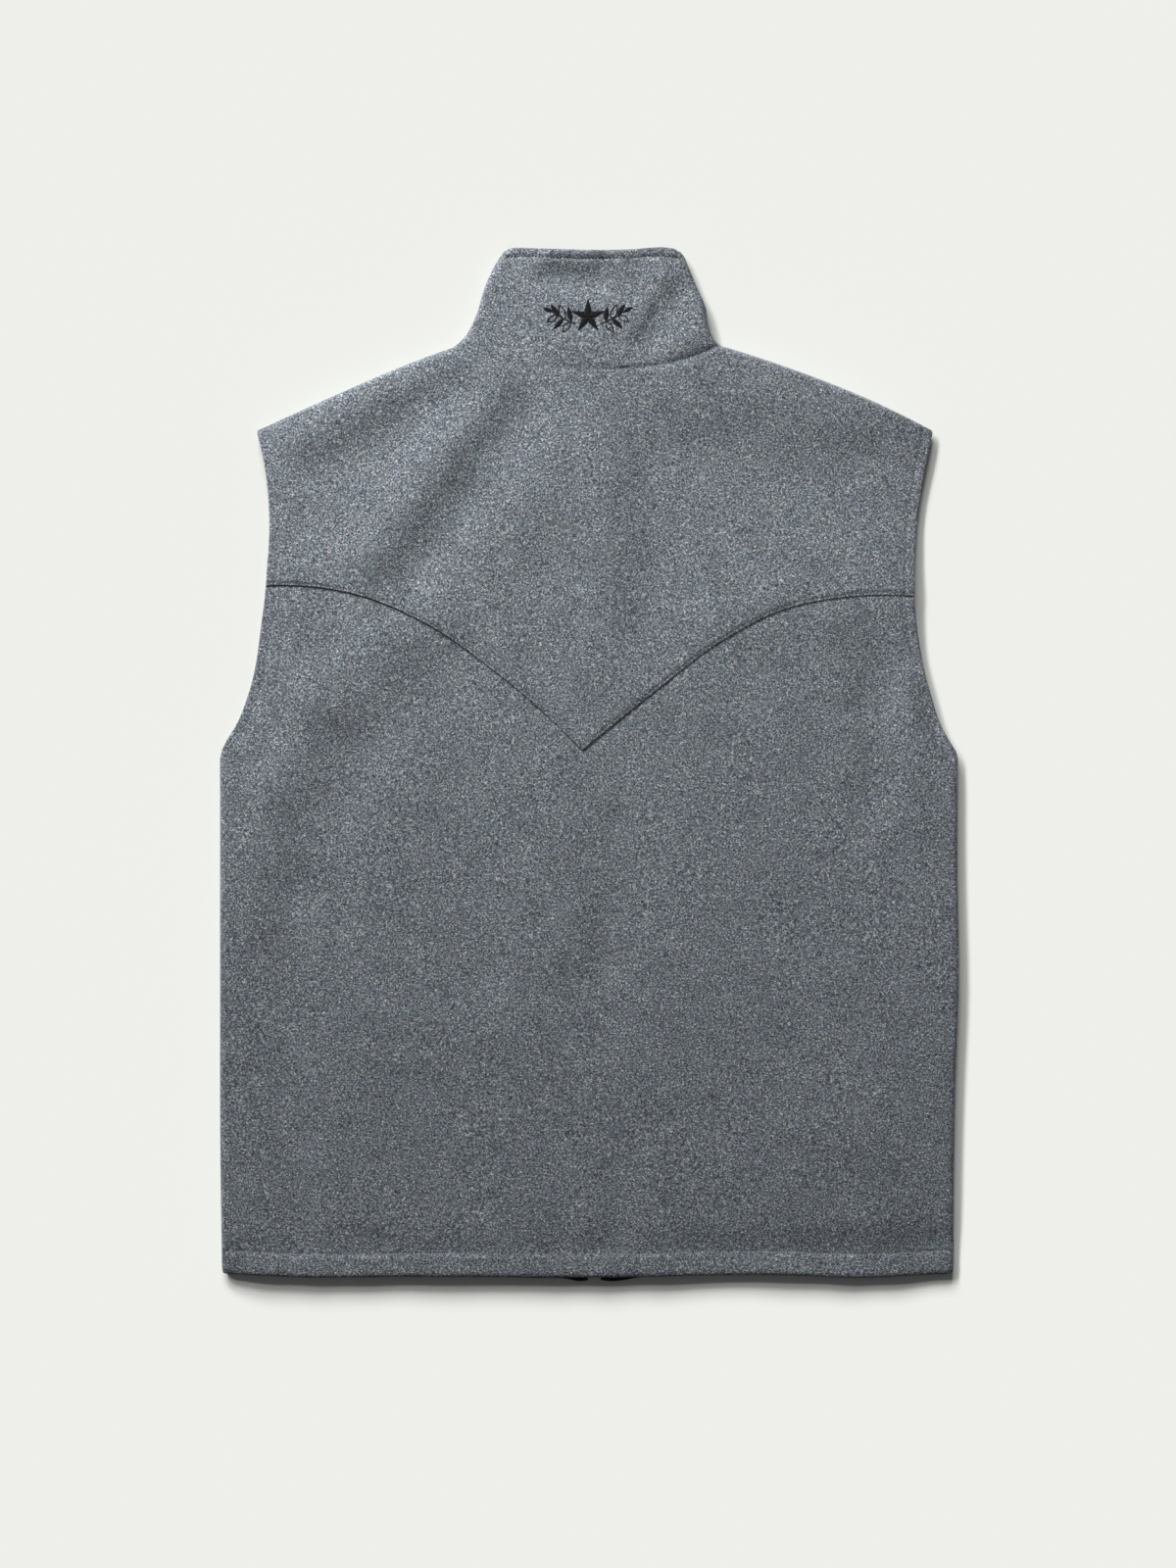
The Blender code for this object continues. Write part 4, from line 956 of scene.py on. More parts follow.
def seam_direction(row, front_count, back_count):
    """Along the collar's seam, away from the nearer fold, so that the wall stays on its own side of it."""
    along = np.gradient(row, axis=0)
    along /= np.linalg.norm(along, axis=1)[:, None]
    last = front_count + back_count - 1
    middle = (front_count + last) // 2
    direction = along.copy()
    direction[:front_count] *= -1.0
    direction[middle:last] *= -1.0
    direction[front_count] = direction[front_count + 1]
    direction[last] = direction[last - 1]
    return direction


def make_facing(side, lining_and_shade):
    """The black facing inside a front, whose foot shows a little below the hem."""
    foot = FACING_FOOT_LEFT if side == "left" else FACING_FOOT_RIGHT
    u = np.linspace(0.0, 1.0, 40)
    bottom = smooth_line(foot, u)
    v = join_steps(FACING_FOOT_SHARES, np.linspace(0.04, 1.0, 60))
    top = np.stack([bottom[:, 0], np.full_like(u, FACING_TOP)], axis=-1)
    place = bottom[None] + (top - bottom)[None] * v[:, None, None]
    outer = np.dstack([place, np.full(place.shape[:2], WALL + SEAM_GAP)])
    inner = outer + np.array([0.0, 0.0, FACING_WALL])
    outer, inner = rounded(outer, inner, [bottom], FACING_WALL / 2)
    return cloth_wall(f"facing_{side}_cloth", outer, inner, [lining_and_shade])


def make_tape(side, tape):
    """A woven zip tape, which follows the lift of the front edges."""
    sign = -1.0 if side == "left" else 1.0
    x = CENTRE_FRONT + sign * np.linspace(TAPE_INNER, TAPE_OUTER, 5)
    y = np.arange(ZIP_FOOT - TAPE_BELOW, FRONT_COLLAR_TOP - TAPE_TOP_GAP, TAPE_STEP)
    place = np.stack(np.broadcast_arrays(x[None, :], y[:, None]), axis=-1)
    centre = np.stack([np.full(place.shape[:2], CENTRE_FRONT), place[..., 1]], axis=-1)
    low = CHAIN_BOTTOM + CHAIN_WALL / 2 - TAPE_WALL / 2
    outer = np.dstack([place, low + zip_lift(centre)])
    inner = outer + np.array([0.0, 0.0, TAPE_WALL])
    return cloth_wall(f"tape_{side}_cloth", outer, inner, [tape])


# Sections of a zip tooth from the tape to its head: distance from the tape, half width, half height
ToothSection = namedtuple("ToothSection", "x half_width half_height")
TOOTH = [
    ToothSection(0.0, 0.55, 0.72),
    ToothSection(1.3, 0.62, 1.0),
    ToothSection(2.7, 0.55, 1.0),
    ToothSection(3.3, 0.42, 0.7),
]


def make_teeth(metal):
    """Two rows of zip teeth, set half a pitch apart: each tooth is four square sections in line."""
    corners = np.array([(-1, -1), (1, -1), (1, 1), (-1, 1)])
    section = [[(s.x, a * s.half_width, b * s.half_height) for a, b in corners] for s in TOOTH]
    tooth = np.array(section).reshape(-1, 3)
    faces = [[0, 1, 2, 3], [15, 14, 13, 12]]
    for ring in range(len(TOOTH) - 1):
        for side in range(4):
            low, after = 4 * ring + side, 4 * ring + (side + 1) % 4
            faces.append([low, low + 4, after + 4, after])
    faces = np.array(faces)
    start = ZIP_FOOT + BOX_LENGTH + BOX_GAP
    count = int((SLIDER_PIVOT_Y - start) / TOOTH_PITCH)
    places, quads = [], []
    for sign, shift in ((-1.0, 0.0), (1.0, 0.5)):
        y = start + (np.arange(count) + shift) * TOOTH_PITCH
        centre = np.stack([np.full(count, CENTRE_FRONT), y], axis=-1)
        z = CHAIN_BOTTOM + CHAIN_WALL / 2 + zip_lift(centre)
        root = CENTRE_FRONT + sign * CHAIN_HALF_WIDTH
        row = np.empty((count, len(tooth), 3))
        row[..., 0] = root - sign * tooth[None, :, 0]
        row[..., 1] = y[:, None] + tooth[None, :, 1]
        row[..., 2] = z[:, None] + tooth[None, :, 2]
        offset = len(places) * count * len(tooth)
        places.append(row.reshape(-1, 3))
        first = offset + np.arange(count) * len(tooth)
        quads.append((faces[None] + first[:, None, None]).reshape(-1, 4))
    return shell("zip_teeth", np.concatenate(places) * MM, np.concatenate(quads), [metal])


def offset_path(path, distance):
    """A path moved sideways by a distance, to its left as it runs."""
    along = np.gradient(path, axis=0)
    along /= np.linalg.norm(along, axis=1)[:, None]
    return path + distance * np.stack([-along[:, 1], along[:, 0]], axis=-1)


def spaced(path, pitch):
    """Places a pitch apart along a path, with its direction at each."""
    length = np.concatenate([[0.0], np.cumsum(np.linalg.norm(np.diff(path, axis=0), axis=1))])
    at = np.arange(pitch / 2, length[-1], pitch)
    shifts = (0.0, LOOK_AHEAD, -LOOK_AHEAD)
    place, ahead, behind = (
        np.stack([np.interp(at + shift, length, path[:, axis]) for axis in range(2)], axis=-1)
        for shift in shifts
    )
    along = ahead - behind
    return place, along / np.linalg.norm(along, axis=1)[:, None]


# Sections of a stitch: place along it, how far it stands up, and its thickness, as shares
StitchSection = namedtuple("StitchSection", "along rise girth")
STITCH = [
    StitchSection(-0.5, -1.6, 0.35),
    StitchSection(-0.36, -0.2, 0.95),
    StitchSection(0.0, 0.35, 1.0),
    StitchSection(0.36, -0.2, 0.95),
    StitchSection(0.5, -1.6, 0.35),
]
STITCH_SIDES = 6
LOOK_AHEAD = 0.2

# Rows of stitches: pitch, length and radius of a stitch, and how far the row sinks into the cloth
StitchRow = namedtuple("StitchRow", "pitch length radius sink")
HEM_ROW = StitchRow(3.3, 2.5, 0.28, 0.05)
ARMHOLE_ROW = StitchRow(3.3, 2.5, 0.28, 0.25)
YOKE_ROW = StitchRow(3.3, 1.5, 0.28, 0.1)
COLLAR_ROW = StitchRow(2.6, 2.2, 0.34, 0.0)
OUTLINE_ROW = StitchRow(1.5, 1.8, 0.42, -0.05)
HEM_ROW_MARGIN = 5.0
ARMHOLE_ROW_PART = slice(6, -3)
ROW_BELOW_YOKE = 1.0
ROW_ABOVE_YOKE = 2.0


def stitch_mesh(name, runs, thread):
    """Stitches along several runs: each one is a short thread whose ends dive into the cloth.

    A run is (places, directions, heights, length, radius). A section is a circle of STITCH_SIDES points.
    """
    turn = np.linspace(0.0, 2.0 * np.pi, STITCH_SIDES, endpoint=False)
    ring = np.arange(STITCH_SIDES)
    after = (ring + 1) % STITCH_SIDES
    starts = [section * STITCH_SIDES for section in range(len(STITCH))]
    bands = zip(starts[:-1], starts[1:])
    quads = [np.stack([low + ring, low + after, high + after, high + ring], axis=-1) for low, high in bands]
    quads = np.concatenate(quads)
    size = len(STITCH) * STITCH_SIDES
    places, faces, done = [], [], 0
    for place, along, height, length, radius in runs:
        across = np.stack([-along[:, 1], along[:, 0]], axis=-1)
        reach = (along * np.broadcast_to(length, len(place))[:, None])[:, None, :]
        rings = []
        for section in STITCH:
            girth = radius * section.girth
            side = across[:, None, :] * (girth * np.cos(turn))[None, :, None]
            flat = place[:, None, :] + reach * section.along + side
            z = height[:, None] + radius * section.rise + (girth * np.sin(turn))[None, :]
            rings.append(np.dstack([flat, z]))
        block = np.stack(rings, axis=1).reshape(-1, 3)
        places.append(block)
        start = done + np.arange(len(place)) * size
        faces.append((quads[None] + start[:, None, None]).reshape(-1, 4))
        done += len(block)
    mesh = bpy.data.meshes.new(name)
    mesh.from_pydata((np.concatenate(places) * MM).tolist(), [], np.concatenate(faces).tolist())
    edit_mesh(mesh, close_ends)
    mesh.shade_smooth()
    mesh.materials.append(thread)
    return in_scene(name, mesh)


def run_on(path, surface, row):
    """A run of stitches along a path on a surface, ready for stitch_mesh."""
    place, along = spaced(path, row.pitch)
    return place, along, surface(place) - row.sink, row.length, row.radius


def back_surface_at(place):
    """Outer face of the lower back at single places."""
    return lower_back_surface(place[None])[0][0]


def yoke_surface_at(place):
    """Outer face of the yoke at single places."""
    return yoke_surface(place[None])[0][0]


def collar_surface_at(place):
    """Outer face of the back of the collar at single places, away from its folds."""
    grid = place[None]
    angle = fold_angle(distance_to(grid, *COLLAR_FOLDS), COLLAR_FOLD_REACH)
    return (FOLD_HEIGHT + (collar_top(grid) - FOLD_HEIGHT) * np.sin(angle))[0]


# Embroidery on the collar: each leaf has a root, a direction in degrees, and is filled or only outlined
Leaf = namedtuple("Leaf", "x y turn length width filled")
SPRAY = [
    Leaf(12.8, -3.2, 82.0, 10.5, 4.4, True),
    Leaf(13.4, -4.0, -55.0, 9.0, 4.0, False),
    Leaf(17.4, -1.6, 70.0, 11.0, 4.4, False),
    Leaf(18.2, -2.0, -44.0, 10.0, 4.2, True),
    Leaf(22.0, 0.8, 58.0, 10.0, 4.2, True),
    Leaf(22.8, 0.6, -32.0, 8.5, 3.8, False),
    Leaf(26.4, 3.6, 24.0, 7.5, 3.4, True),
]
STEM = [Point(9.0, -5.4), Point(14.5, -3.2), Point(21.0, 0.0), Point(27.4, 4.4)]
STAR_POINTS = 5
STAR_LENGTH = 13.0
STAR_WIDTH = 5.9
MOTIF_CENTRE = np.array([-0.7, 331.0])
FILL_SPACING = 0.46
THREAD_RADIUS = 0.3
SATIN_SLANT = 18.0
SATIN_ENDS = Span(0.04, 0.96)
SATIN_RISE = 0.12
SATIN_OVERLAP = 0.5
LEAF_FULLNESS = 0.8
STAR_WAIST = 0.31
EDGE_PLACES = 30


def leaf_width(share):
    """Half width of a leaf along its length, 1 at its widest."""
    return np.sin(np.pi * share**LEAF_FULLNESS)


def star_width(share):
    """Half width of an arm of the star: it widens from the centre and narrows to its point."""
    return np.minimum(share / STAR_WAIST, (1.0 - share) / (1.0 - STAR_WAIST))


def direction(degrees):
    """The flat direction at an angle from +X."""
    return np.array([math.cos(math.radians(degrees)), math.sin(math.radians(degrees))])


def satin(root, turn, length, width, profile, slant=SATIN_SLANT):
    """Threads side by side across a shape that is given by its axis and its width along it."""
    share = np.linspace(*SATIN_ENDS, int(length / FILL_SPACING))
    place = root + direction(turn) * (share * length)[:, None]
    along = np.tile(direction(turn + 90.0 - slant), (len(share), 1))
    lengths = SATIN_OVERLAP + width * profile(share)
    return place, along, collar_surface_at(place) + SATIN_RISE, lengths, THREAD_RADIUS


def outline(root, turn, length, width, profile):
    """Back stitches round the edge of a shape."""
    share = np.linspace(0.0, 1.0, EDGE_PLACES)
    middle = root + direction(turn) * (share * length)[:, None]
    out = direction(turn + 90.0) * (width / 2 * profile(share))[:, None]
    return run_on(np.concatenate([middle + out, (middle - out)[::-1]]), collar_surface_at, OUTLINE_ROW)


def make_embroidery(thread):
    """A star between two sprays of leaves in black thread."""
    runs = []
    for number in range(STAR_POINTS):
        turn = 90.0 + 360.0 / STAR_POINTS * number
        runs.append(satin(MOTIF_CENTRE, turn, STAR_LENGTH, STAR_WIDTH, star_width, 0.0))
    for sign in (-1.0, 1.0):
        mirror = np.array([sign, 1.0])
        for leaf in SPRAY:
            turn = leaf.turn if sign > 0.0 else 180.0 - leaf.turn
            root = MOTIF_CENTRE + mirror * (leaf.x, leaf.y)
            stitched = satin if leaf.filled else outline
            runs.append(stitched(root, turn, leaf.length, leaf.width, leaf_width))
        stem = MOTIF_CENTRE + mirror * path_of(STEM, EDGE_PLACES)
        runs.append(run_on(stem, collar_surface_at, OUTLINE_ROW))
    return stitch_mesh("collar_embroidery", runs, thread)


def split_at_yoke(path):
    """The parts of an armhole path below and above the yoke's edge."""
    edge_height = np.interp(path[:, 0], YOKE_PATH[:, 0], YOKE_PATH[:, 1])
    below = path[:, 1] < edge_height - ROW_BELOW_YOKE
    above = path[:, 1] > edge_height + ROW_ABOVE_YOKE
    return path[below], path[above]


def make_stitching(thread, dark_thread, black_thread):
    """The stitch rows that show: hem, armholes, yoke edge and the top of the collar."""
    hem = hem_path() + np.array([0.0, HEM_DEPTH])
    hem[0, 0] += HEM_ROW_MARGIN
    hem[-1, 0] -= HEM_ROW_MARGIN
    left_low, left_high = split_at_yoke(offset_path(ARMHOLE_PATHS[0], -ARMHOLE_BAND)[ARMHOLE_ROW_PART])
    right_low, right_high = split_at_yoke(offset_path(ARMHOLE_PATHS[1], ARMHOLE_BAND)[ARMHOLE_ROW_PART])
    yoke = offset_path(YOKE_PATH, YOKE_BAND)
    tip = len(YOKE_PATH) // 2
    yoke = np.concatenate([yoke[: tip - 1], yoke[tip + 2 :]])
    collar = offset_path(COLLAR_TOP_PATH, -COLLAR_BAND)
    rows = [
        ("hem_stitching", [hem], back_surface_at, HEM_ROW, thread),
        ("armhole_stitching_low", [left_low, right_low], back_surface_at, ARMHOLE_ROW, dark_thread),
        ("armhole_stitching_high", [left_high, right_high], yoke_surface_at, ARMHOLE_ROW, dark_thread),
        ("yoke_stitching", [yoke], yoke_surface_at, YOKE_ROW, dark_thread),
        ("collar_stitching", [collar], collar_surface_at, COLLAR_ROW, black_thread),
    ]
    return [
        stitch_mesh(name, [run_on(path, surface, row) for path in paths], material)
        for name, paths, surface, row, material in rows
    ]


def solid_copy(name, node, material):
    """A copy of a hard piece with its doubles merged and its edges rounded."""
    mesh = frame["nodes"][node].data.copy()
    edit_mesh(mesh, simplify)
    mesh.materials.clear()
    mesh.materials.append(material)
    piece = in_scene(name, mesh)
    modifier = piece.modifiers.new("rounded_edges", "BEVEL")
    modifier.width = BEVEL * MM
    modifier.segments = 2
    modifier.limit_method = "ANGLE"
    mesh.shade_smooth()
    return piece


def fill(tree, node, values):
    """Set or link a node's sockets by name."""
    for socket, value in values.items():
        if isinstance(value, bpy.types.NodeSocket):
            tree.links.new(value, node.inputs[socket])
        else:
            node.inputs[socket].default_value = value


def add(tree, kind, values, **settings):
    """One node, with its settings, and its sockets set or linked by name."""
    made = tree.nodes.new(kind)
    for key, value in settings.items():
        setattr(made, key, value)
    fill(tree, made, values)
    return made


def maths(tree, operation, first, second=0.0, clamp=False):
    """The result of one sum on numbers."""
    made = add(tree, "ShaderNodeMath", {0: first, 1: second}, operation=operation, use_clamp=clamp)
    return made.outputs[0]


def vector_maths(tree, operation, values):
    """The result of one sum on vectors."""
    return add(tree, "ShaderNodeVectorMath", values, operation=operation).outputs[0]


def noise(tree, vector, *, scale, detail, roughness=0.5):
    """The sockets of a noise texture."""
    values = {"Vector": vector, "Scale": scale, "Detail": detail, "Roughness": roughness}
    return add(tree, "ShaderNodeTexNoise", values).outputs


def ramp(tree, factor, stops):
    """A colour ramp through (place, colour) stops."""
    made = add(tree, "ShaderNodeValToRGB", {"Fac": factor})
    elements = made.color_ramp.elements
    while len(elements) < len(stops):
        elements.new(0.5)
    for element, (place, colour) in zip(elements, stops):
        element.position = place
        element.color = (*colour, 1.0)
    return made.outputs["Color"]


def mixed(tree, blend, factor, first, second):
    """Two colours mixed."""
    made = add(tree, "ShaderNodeMix", {0: factor, 6: first, 7: second}, data_type="RGBA", blend_type=blend)
    return made.outputs[2]


def new_group(name, inputs, outputs):
    """An empty shader node group with its sockets."""
    tree = bpy.data.node_groups.new(name, "ShaderNodeTree")
    for label, kind, value in inputs:
        socket = tree.interface.new_socket(label, in_out="INPUT", socket_type=kind)
        if value is not None:
            socket.default_value = value
    for label, kind in outputs:
        tree.interface.new_socket(label, in_out="OUTPUT", socket_type=kind)
    return tree, tree.nodes.new("NodeGroupInput").outputs, tree.nodes.new("NodeGroupOutput").inputs


# Heather wool: scales in grains a metre, how much each layer counts, and the colours from dark to light
DRIFT_SCALE = 210.0
DRIFT_REACH = 0.0022
FINE_RATIO = 2.1
COARSE_SHARE = 0.55
FINE_SHARE = 0.45
BLOTCH_SCALE = 48.0
BLOTCH_SHARE = 0.16
TINT_SCALE = 330.0
TINT_SHARE = 0.16
WOOL_COLOURS = [
    (0.0, (0.005, 0.007, 0.009)),
    (0.28, (0.0235, 0.0275, 0.033)),
    (0.5, (0.0535, 0.0605, 0.0695)),
    (0.72, (0.100, 0.1095, 0.1195)),
    (1.0, (0.255, 0.267, 0.275)),
]


def heather_group():
    """Heather wool: grains of light and dark fibre, tinted blue and brown, with soft blotches over them."""
    tree, given, result = new_group(
        "heather_fibres",
        [
            ("Vector", "NodeSocketVector", None),
            ("Grains per metre", "NodeSocketFloat", 600.0),
            ("Contrast", "NodeSocketFloat", 1.0),
            ("Tone", "NodeSocketFloat", 0.0),
        ],
        [("Color", "NodeSocketColor"), ("Height", "NodeSocketFloat")],
    )
    vector, scale = given["Vector"], given["Grains per metre"]
    drift = noise(tree, vector, scale=DRIFT_SCALE, detail=1.0)["Color"]
    shift = vector_maths(tree, "SUBTRACT", {0: drift, 1: (0.5, 0.5, 0.5)})
    shift = vector_maths(tree, "SCALE", {0: shift, "Scale": DRIFT_REACH})
    warped = vector_maths(tree, "ADD", {0: vector, 1: shift})
    coarse = noise(tree, warped, scale=scale, detail=2.0, roughness=0.6)[0]
    fine = noise(tree, warped, scale=maths(tree, "MULTIPLY", scale, FINE_RATIO), detail=2.0)[0]
    coarse_part = maths(tree, "MULTIPLY", coarse, COARSE_SHARE)
    both = maths(tree, "ADD", coarse_part, maths(tree, "MULTIPLY", fine, FINE_SHARE))
    spread = maths(tree, "MULTIPLY", maths(tree, "SUBTRACT", both, 0.5), given["Contrast"])
    blotch = noise(tree, vector, scale=BLOTCH_SCALE, detail=3.0)[0]
    soft = maths(tree, "MULTIPLY", maths(tree, "SUBTRACT", blotch, 0.5), BLOTCH_SHARE)
    uneven = maths(tree, "ADD", spread, soft)
    level = maths(tree, "ADD", uneven, maths(tree, "ADD", given["Tone"], 0.5), True)
    colour = ramp(tree, level, WOOL_COLOURS)
    tint = noise(tree, warped, scale=TINT_SCALE, detail=1.0)["Color"]
    tree.links.new(mixed(tree, "OVERLAY", TINT_SHARE, colour, tint), result["Color"])
    tree.links.new(both, result["Height"])
    return tree


def weave_group():
    """A plain weave: two crossed sets of rounded threads, with a little unevenness in each."""
    tree, given, result = new_group(
        "plain_weave",
        [("Vector", "NodeSocketVector", None), ("Threads per metre", "NodeSocketFloat", 1800.0)],
        [("Mask", "NodeSocketFloat"), ("Height", "NodeSocketFloat")],
    )
    parts = add(tree, "ShaderNodeSeparateXYZ", {0: given["Vector"]}).outputs
    turn = maths(tree, "MULTIPLY", given["Threads per metre"], math.pi)
    across = maths(tree, "SINE", maths(tree, "MULTIPLY", parts[0], turn))
    up = maths(tree, "SINE", maths(tree, "MULTIPLY", parts[1], turn))
    weave = maths(tree, "MULTIPLY", across, up)
    uneven = noise(tree, given["Vector"], scale=900.0, detail=2.0)[0]
    height = maths(tree, "ADD", maths(tree, "MULTIPLY", weave, 0.35), uneven)
    tree.links.new(maths(tree, "ADD", maths(tree, "MULTIPLY", weave, 0.5), 0.5), result["Mask"])
    tree.links.new(height, result["Height"])
    return tree


def new_material(name):
    """A material with its node tree, its shader and the object coordinates."""
    material = bpy.data.materials.new(name)
    material.use_nodes = True
    tree = material.node_tree
    shader = tree.nodes["Principled BSDF"]
    place = tree.nodes.new("ShaderNodeTexCoord").outputs["Object"]
    return material, tree, shader, place


def group_node(tree, group, values):
    """A group placed in a material with its own values."""
    return add(tree, "ShaderNodeGroup", values, node_tree=group).outputs


def link_bump(tree, shader, height, *, distance, strength):
    """Fine relief from a height."""
    bump = add(tree, "ShaderNodeBump", {"Height": height, "Distance": distance, "Strength": strength})
    tree.links.new(bump.outputs[0], shader.inputs["Normal"])


def wool_material(group):
    """Brushed heather wool with a short nap."""
    material, tree, shader, place = new_material("heather_wool")
    fibres = group_node(tree, group, {"Vector": place, "Grains per metre": 740.0, "Contrast": 3.5})
    link_bump(tree, shader, fibres["Height"], distance=0.0009, strength=0.7)
    looks = {"Base Color": fibres["Color"], "Roughness": 0.92, "Specular IOR Level": 0.12}
    sheen = {"Sheen Weight": 0.25, "Sheen Roughness": 0.45, "Sheen Tint": (0.8, 0.86, 0.95, 1.0)}
    fill(tree, shader, looks | sheen)
    return material


def thread_material(name, colour, sheen=0.15):
    """Twisted sewing thread."""
    material, tree, shader, place = new_material(name)
    twist = noise(tree, place, scale=2600.0, detail=1.0)[0]
    dark = tuple(channel * 0.55 for channel in colour)
    strands = ramp(tree, twist, [(0.3, dark), (0.7, colour)])
    link_bump(tree, shader, twist, distance=0.0001, strength=0.5)
    looks = {"Base Color": strands, "Roughness": 0.85, "Specular IOR Level": 0.1, "Sheen Weight": sheen}
    fill(tree, shader, looks)
    return material


def woven_material(name, group, dark, light, threads):
    """Black cloth or tape in a plain weave."""
    material, tree, shader, place = new_material(name)
    weave = group_node(tree, group, {"Vector": place, "Threads per metre": threads})
    strands = ramp(tree, weave["Mask"], [(0.2, dark), (0.9, light)])
    link_bump(tree, shader, weave["Height"], distance=0.00015, strength=0.6)
    fill(tree, shader, {"Base Color": strands, "Roughness": 0.82, "Sheen Weight": 0.1})
    return material


def metal_material():
    """Dark satin zip metal, a little brighter where it is rubbed."""
    material, tree, shader, place = new_material("satin_zip_metal")
    cloud = noise(tree, place, scale=420.0, detail=4.0)[0]
    grain = noise(tree, place, scale=5200.0, detail=2.0)[0]
    worn = [(0.35, (0.075, 0.075, 0.08)), (0.62, (0.12, 0.12, 0.125)), (0.8, (0.22, 0.21, 0.2))]
    rough = maths(tree, "ADD", maths(tree, "MULTIPLY", grain, 0.25), 0.24)
    link_bump(tree, shader, grain, distance=0.00005, strength=0.25)
    fill(tree, shader, {"Base Color": ramp(tree, cloud, worn), "Roughness": rough, "Metallic": 1.0})
    return material


# Lights and floor
SunLight = namedtuple("SunLight", "name x y z strength softness")
SUNS = [
    SunLight("softbox_high", -1.05, 0.95, 1.0, 0.95, 8.0),
    SunLight("softbox_middle", -1.0, 1.5, 1.0, 1.75, 10.0),
    SunLight("softbox_low", -0.9, 2.4, 1.0, 1.60, 11.0),
    SunLight("window_from_the_top", -0.15, 1.9, 1.0, 1.93, 18.0),
]
WORLD_LIGHT = 0.085
FLOOR_COLOUR = (0.86, 0.868, 0.828)
FLOOR_GAP = 0.1
FLOOR_SIZE = 60.0
SKY_COLOUR = (0.98, 0.99, 1.0)

# Near panels that light the vest alone: place, where each one points, width and power
Panel = namedtuple("Panel", "name place aim size power")
PANELS = [
    Panel("cloth_panel_left", (-0.58, 0.80, 0.45), (-0.12, 0.14, 0.0), 0.35, 24.0),
    Panel("cloth_panel_right", (0.36, 0.26, 0.55), (0.10, 0.06, 0.0), 0.35, 2.4),
]
CAMERA_HEIGHT = 2.6
VIEW_HEIGHT = 1.160
VIEW_CENTRE = (-0.0007, -0.014)
SENSOR_WIDTH = 36.0


def make_stage():
    """Pale floor, soft light from the upper left and the top, and a camera straight overhead."""
    bpy.ops.mesh.primitive_plane_add(size=FLOOR_SIZE, location=(0.0, 0.0, -FLOOR_GAP * MM))
    floor = bpy.context.object
    floor.name = "pale_floor"
    material, tree, shader, _ = new_material("floor_paper")
    paper = {"Base Color": (*FLOOR_COLOUR, 1.0), "Roughness": 1.0, "Specular IOR Level": 0.0}
    fill(tree, shader, paper)
    floor.data.materials.append(material)
    floor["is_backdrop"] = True
    for sun in SUNS:
        light = bpy.data.lights.new(sun.name, "SUN")
        light.energy = sun.strength
        light.angle = math.radians(sun.softness)
        towards = np.array([sun.x, sun.y, sun.z])
        towards /= np.linalg.norm(towards)
        lamp = in_scene(sun.name, light)
        lamp.rotation_euler = (math.acos(towards[2]), 0.0, math.atan2(towards[0], -towards[1]))
    make_cloth_lights()
    world = bpy.data.worlds.new("soft_room")
    world.use_nodes = True
    sky = {"Color": (*SKY_COLOUR, 1.0), "Strength": WORLD_LIGHT}
    fill(world.node_tree, world.node_tree.nodes["Background"], sky)
    bpy.context.scene.world = world
    camera = bpy.data.cameras.new("overhead")
    camera.sensor_width = SENSOR_WIDTH
    camera.lens = SENSOR_WIDTH * CAMERA_HEIGHT / VIEW_HEIGHT
    camera.clip_end = 100.0
    eye = in_scene("overhead", camera)
    eye.location = (*VIEW_CENTRE, CAMERA_HEIGHT + FOLD_HEIGHT * MM)
    bpy.context.scene.camera = eye
    bpy.context.scene.view_settings.view_transform = "Standard"


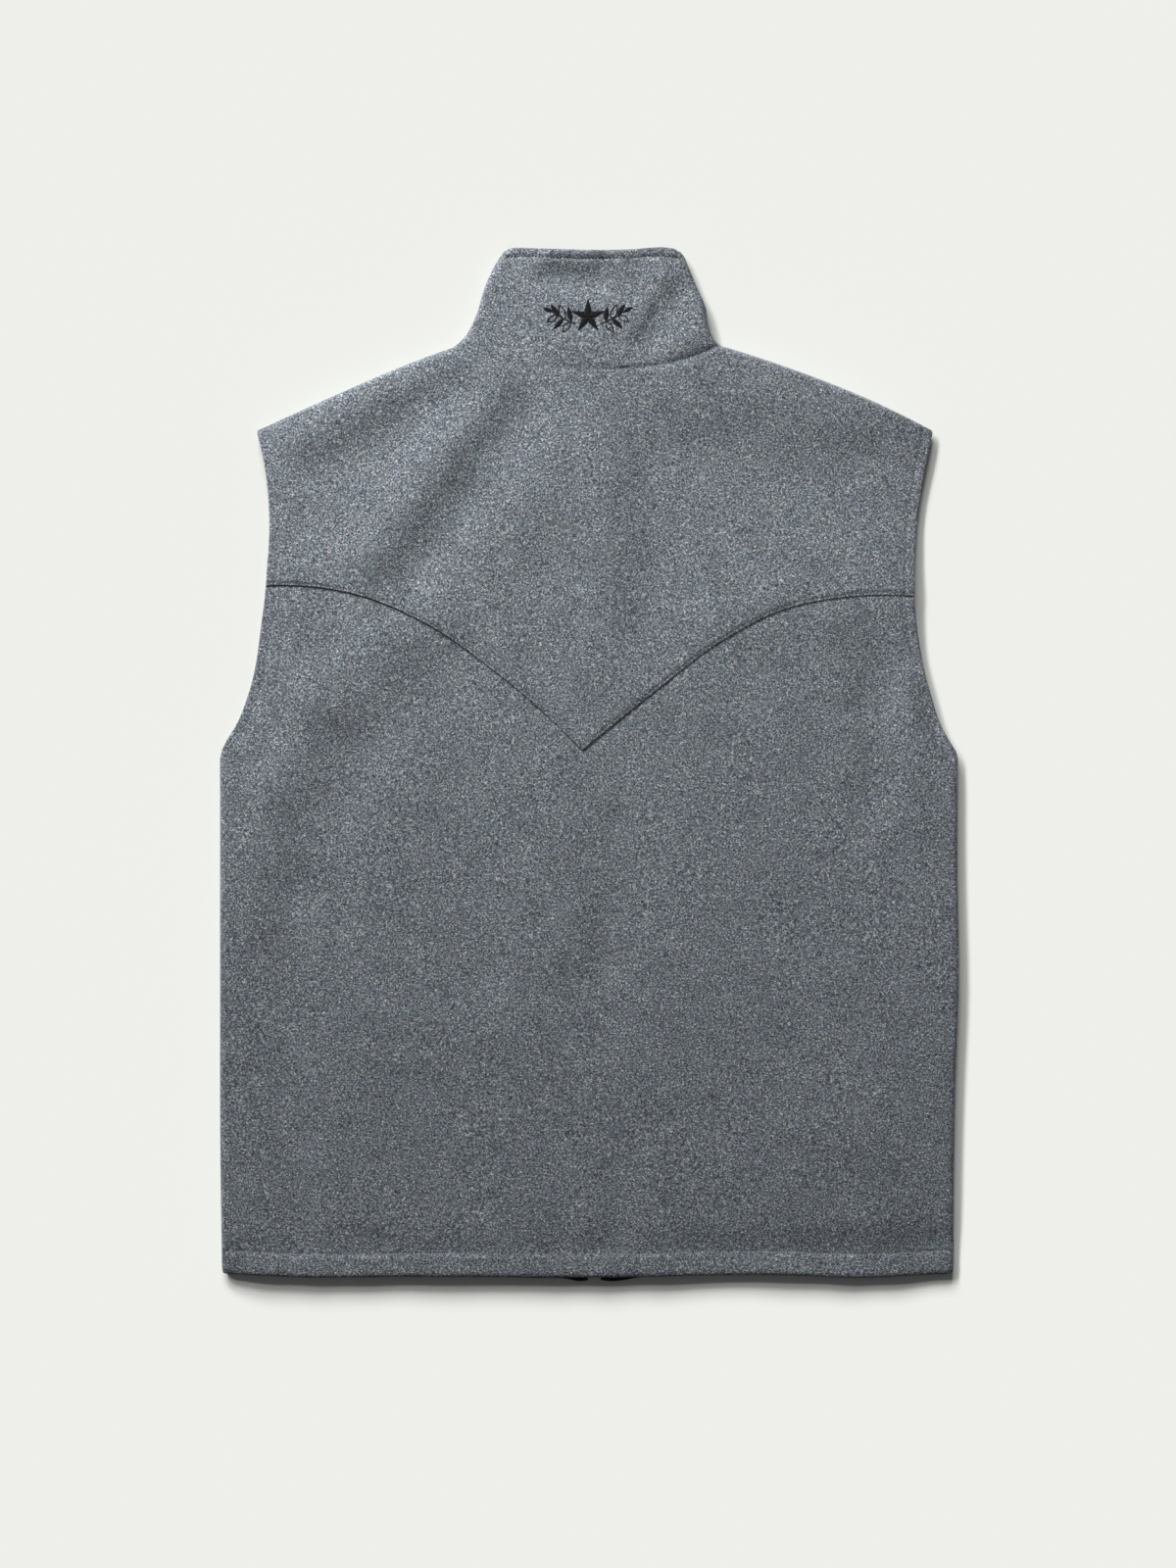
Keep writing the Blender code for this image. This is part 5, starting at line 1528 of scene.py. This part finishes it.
def make_cloth_lights():
    """Near panels that light the vest alone, most of all its upper left, and leave the floor even."""
    vest = bpy.data.collections.new("lit_by_the_panels")
    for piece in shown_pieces():
        vest.objects.link(piece)
    for panel in PANELS:
        light = bpy.data.lights.new(panel.name, "AREA")
        light.energy = panel.power
        light.size = panel.size
        lamp = in_scene(panel.name, light)
        lamp.location = panel.place
        facing = Vector(panel.aim) - Vector(panel.place)
        lamp.rotation_euler = facing.to_track_quat("-Z", "Y").to_euler()
        lamp.light_linking.receiver_collection = vest
        lamp.visible_camera = False


def main():
    for item in list(bpy.data.objects):
        if item.name in ("Cube", "Light", "Camera"):
            bpy.data.objects.remove(item)
    weave = weave_group()
    wool = wool_material(heather_group())
    # Black lining for the facings and the fronts' armhole bands. On the armhole sliver that shows past the
    # back, it is painted shade.
    lining_and_shade = woven_material("black_lining_and_painted_shade", weave, (0.006, 0.006, 0.007), (0.02, 0.02, 0.022), 1700.0)
    tape = woven_material("black_tape", weave, (0.007, 0.007, 0.008), (0.028, 0.028, 0.03), 1300.0)
    metal = metal_material()
    thread = thread_material("grey_thread", (0.15, 0.165, 0.18))
    black_thread = thread_material("black_thread", (0.004, 0.004, 0.005), 0.0)
    dark_thread = thread_material("dark_thread", (0.045, 0.05, 0.056))
    lower_back = make_lower_back(wool)
    yoke = make_yoke(wool)
    fronts = {side: make_front(side, wool, lining_and_shade) for side in ("left", "right")}
    collar = make_collar(wool)
    facings = {side: make_facing(side, lining_and_shade) for side in ("left", "right")}
    tapes = {side: make_tape(side, tape) for side in ("left", "right")}
    stitching = make_stitching(thread, dark_thread, black_thread) + [make_embroidery(black_thread)]
    hardware = [
        (make_teeth(metal), "vest", "zip_chain"),
        (solid_copy("zip_foot_box", "zip_box", metal), "vest", "zip_box"),
        (solid_copy("zip_slider_body", "zip_slider", metal), "vest", "zip_slider"),
        (solid_copy("zip_pull_tab", "zip_pull", metal), "pull", "zip_pull"),
    ]
    for piece, body, node in hardware:
        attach(piece, body)
        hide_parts(node)
    cloth = [(lower_back, "back_panel", "wool"), (yoke, "back_yoke", "wool"), (collar, "collar", "wool")]
    for side in ("left", "right"):
        cloth.append((fronts[side], f"front_{side}", "wool"))
        cloth.append((facings[side], f"front_facing_{side}", "facing"))
        cloth.append((tapes[side], f"zip_tape_{side}", "zip_tape"))
    for piece, node, slot in cloth:
        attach(piece, "vest")
        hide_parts(node)
    for piece in stitching:
        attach(piece, "vest")


main()
make_stage()
